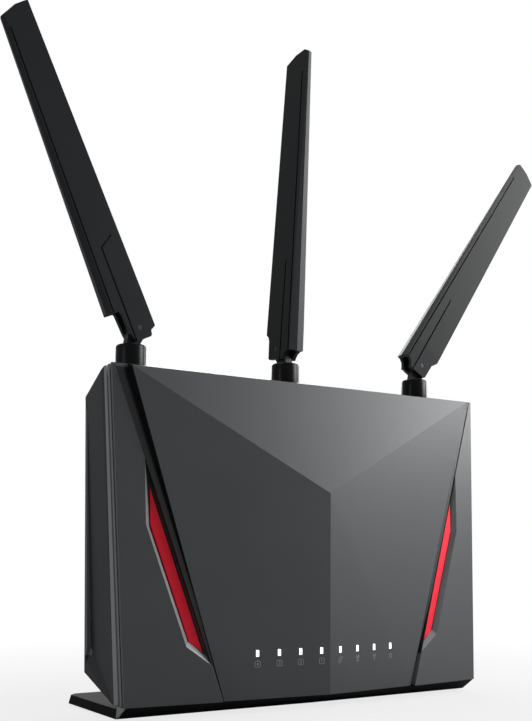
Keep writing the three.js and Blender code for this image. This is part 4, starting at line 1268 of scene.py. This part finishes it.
@dataclass
class Antenna:
    """One antenna: threaded jack, collar, swivelling stem and the two halves of its blade."""

    side: str
    radius: float = 7.5
    neck: float = 4.3
    neck_depth: float = 3.1
    bore: float = 3.4
    hollow: float = 6.0
    hollow_foot: float = 8.6
    sides: int = 96

    def centre(self) -> Vector:
        """Return the collar's axis at its foot."""
        low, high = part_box(f"antenna_collar_{self.side}")
        return Vector(((low.x + high.x) / 2, (low.y + high.y) / 2, low.z))

    def collar(self) -> None:
        """Turn the collar with its rounded rims."""
        node = f"antenna_collar_{self.side}"
        r, n, bore, hollow = (size * MM for size in (self.radius, self.neck, self.bore, self.hollow))
        low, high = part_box(node)
        top = high.z - low.z
        neck_foot, hollow_foot = top - self.neck_depth * MM, self.hollow_foot * MM
        profile = [
            (bore, 0.0), (r - 0.5 * MM, 0.0), (r - 0.12 * MM, 0.12 * MM), (r, 0.5 * MM), (r, top - 1.2 * MM),
            (r - 0.1 * MM, top - 0.75 * MM), (r - 0.35 * MM, top - 0.3 * MM), (r - 0.8 * MM, top - 0.06 * MM),
            (r - 1.2 * MM, top), (n + 0.35 * MM, top), (n, top - 0.3 * MM), (n, neck_foot),
            (hollow, neck_foot), (hollow, hollow_foot), (bore, hollow_foot),
        ]
        shape = spun(profile, self.sides, closed=True)
        bmesh.ops.transform(shape, matrix=Matrix.Translation(self.centre()), verts=shape.verts)
        name = f"collar_{self.side}"
        piece = link(name, to_mesh(name, shape, smooth=38))
        keep(piece, "chassis", "gloss_black", Finish.GLOSS, node)

    def build(self) -> None:
        """Make and dress the antenna."""
        self.collar()
        dress(f"antenna_jack_{self.side}", Finish.GOLD)
        dress(f"antenna_stem_{self.side}", Finish.BLADE)
        dress(f"radiator_{self.side}", Finish.BOARD)
        dress(f"hinge_pin_{self.side}", Finish.DARK_STEEL)
        for half in ("front", "back"):
            node = f"blade_{half}_{self.side}"
            piece = link(f"{half}_half_{self.side}", softened(node, 0.16 * MM, 2))
            keep(piece, f"blade_{self.side}", "blade_plastic", Finish.BLADE, node)


# ------------------------------------------------------------------ studio


@dataclass
class Studio:
    """Camera, lamps, pale floor and white surround."""

    floor: float = -0.0008
    ambient: float = 0.26
    mirrored: float = 0.25
    eye: Point = (-0.2820, -0.4459, 0.0701)
    turn: Point = (96.286, 0.0, -31.784)
    lens: float = 49.06
    sensor: float = 36.0
    shift_up: float = 0.1276

    def camera(self) -> None:
        """Set the camera."""
        data = bpy.data.cameras.new("camera")
        camera = bpy.data.objects.new("camera", data)
        bpy.context.scene.collection.objects.link(camera)
        camera.location = self.eye
        camera.rotation_euler = [math.radians(a) for a in self.turn]
        data.lens, data.sensor_width, data.shift_y = self.lens, self.sensor, self.shift_up
        data.clip_start, data.clip_end = 0.01, 50.0
        bpy.context.scene.camera = camera

    def lamp(self, name: str, place: Point, aim: Point, size: Flat, power: float) -> None:
        """Add one soft rectangular lamp that points at a place."""
        data = bpy.data.lights.new(name, "AREA")
        data.shape, data.size, data.size_y, data.energy = "RECTANGLE", size[0], size[1], power
        lamp = bpy.data.objects.new(name, data)
        bpy.context.scene.collection.objects.link(lamp)
        lamp.location = place
        lamp.rotation_euler = (Vector(aim) - Vector(place)).to_track_quat("-Z", "Y").to_euler()

    def surround(self) -> None:
        """Make the white surround."""
        world = bpy.data.worlds.new("surround")
        bpy.context.scene.world = world
        world.use_nodes = True
        tree = world.node_tree
        tree.nodes.clear()
        seen = tree.nodes.new("ShaderNodeLightPath")
        total = None
        shares = {"Is Camera Ray": 1.0, "Is Transmission Ray": 1.0, "Is Glossy Ray": self.mirrored}
        for ray, share in shares.items():
            part = tree.nodes.new("ShaderNodeMath")
            part.operation = "MULTIPLY_ADD"
            tree.links.new(seen.outputs[ray], part.inputs[0])
            part.inputs[1].default_value = share * (1.0 - self.ambient)
            part.inputs[2].default_value = self.ambient
            if total:
                tree.links.new(total, part.inputs[2])
            total = part.outputs[0]
        sky = tree.nodes.new("ShaderNodeBackground")
        sky.inputs[0].default_value = (1.0, 1.0, 1.0, 1.0)
        tree.links.new(total, sky.inputs[1])
        tree.links.new(sky.outputs[0], tree.nodes.new("ShaderNodeOutputWorld").inputs[0])

    def ground(self) -> None:
        """Make the pale floor, which keeps the shadow and turns white away from the base."""
        graph = Graph("pale floor")
        vector, x, y, _ = graph.place()
        away = (x * x + y * y).math("SQRT")
        paper = graph.noise(vector, 60.0, 2.0)
        seen_floor = graph.add("ShaderNodeLightPath", output="Is Camera Ray")
        pale = graph.mix(paper, (0.42, 0.42, 0.42), (0.45, 0.45, 0.45))
        cloth = graph.add("ShaderNodeBsdfDiffuse", inputs={"Color": pale})
        white = graph.add("ShaderNodeEmission", inputs={"Color": (1.0, 1.0, 1.0, 1.0), "Strength": 1.0})
        share = seen_floor * away.ramp(0.13, 0.40, 0.78, 1.0)
        both = graph.add("ShaderNodeMixShader", inputs={0: share, 1: cloth, 2: white})
        graph.tree.links.new(both.socket, graph.output.inputs["Surface"])
        shape = bmesh.new()
        bmesh.ops.create_grid(shape, x_segments=1, y_segments=1, size=4.0)
        floor = link("floor", to_mesh("floor", shape))
        floor.data.transform(Matrix.Translation((0.0, 0.0, self.floor)))
        floor.data.materials.append(graph.material)

    def build(self) -> None:
        """Make the studio."""
        self.camera()
        self.lamp("key, high right", (0.98, -0.52, 0.6), (0.02, -0.03, 0.11), (0.6, 0.6), 14.0)
        self.lamp("front, low right", (0.95, -0.78, 0.26), (0.08, -0.04, 0.1), (0.24, 0.5), 1.2)
        self.lamp("side, right", (1.2, 0.3, 0.35), (0.05, -0.03, 0.08), (0.5, 0.7), 6.0)
        self.lamp("fill, left", (-1.2, -0.25, 0.35), (-0.1, 0.0, 0.08), (0.35, 0.5), 1.2)
        self.lamp("top", (0.1, 0.25, 1.2), (0.0, -0.02, 0.15), (0.8, 0.5), 5.0)
        self.lamp("rear fill", (0.4, 1.2, 0.7), (0.0, 0.0, 0.1), (0.9, 0.6), 9.0)
        self.surround()
        self.ground()
        bpy.context.scene.view_settings.view_transform = "Standard"


def main() -> None:
    """Build the router's parts in order."""
    logging.basicConfig(level=logging.INFO, format="%(name)s: %(message)s")
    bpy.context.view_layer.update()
    Studio().build()
    assemblies = [FrontPanel(), Housing(), Stand(), Sockets(), Electronics()]
    assemblies += [Antenna(side) for side in ("left", "middle", "right")]
    for assembly in assemblies:
        assembly.build()


if __name__ == "__main__":
    main()
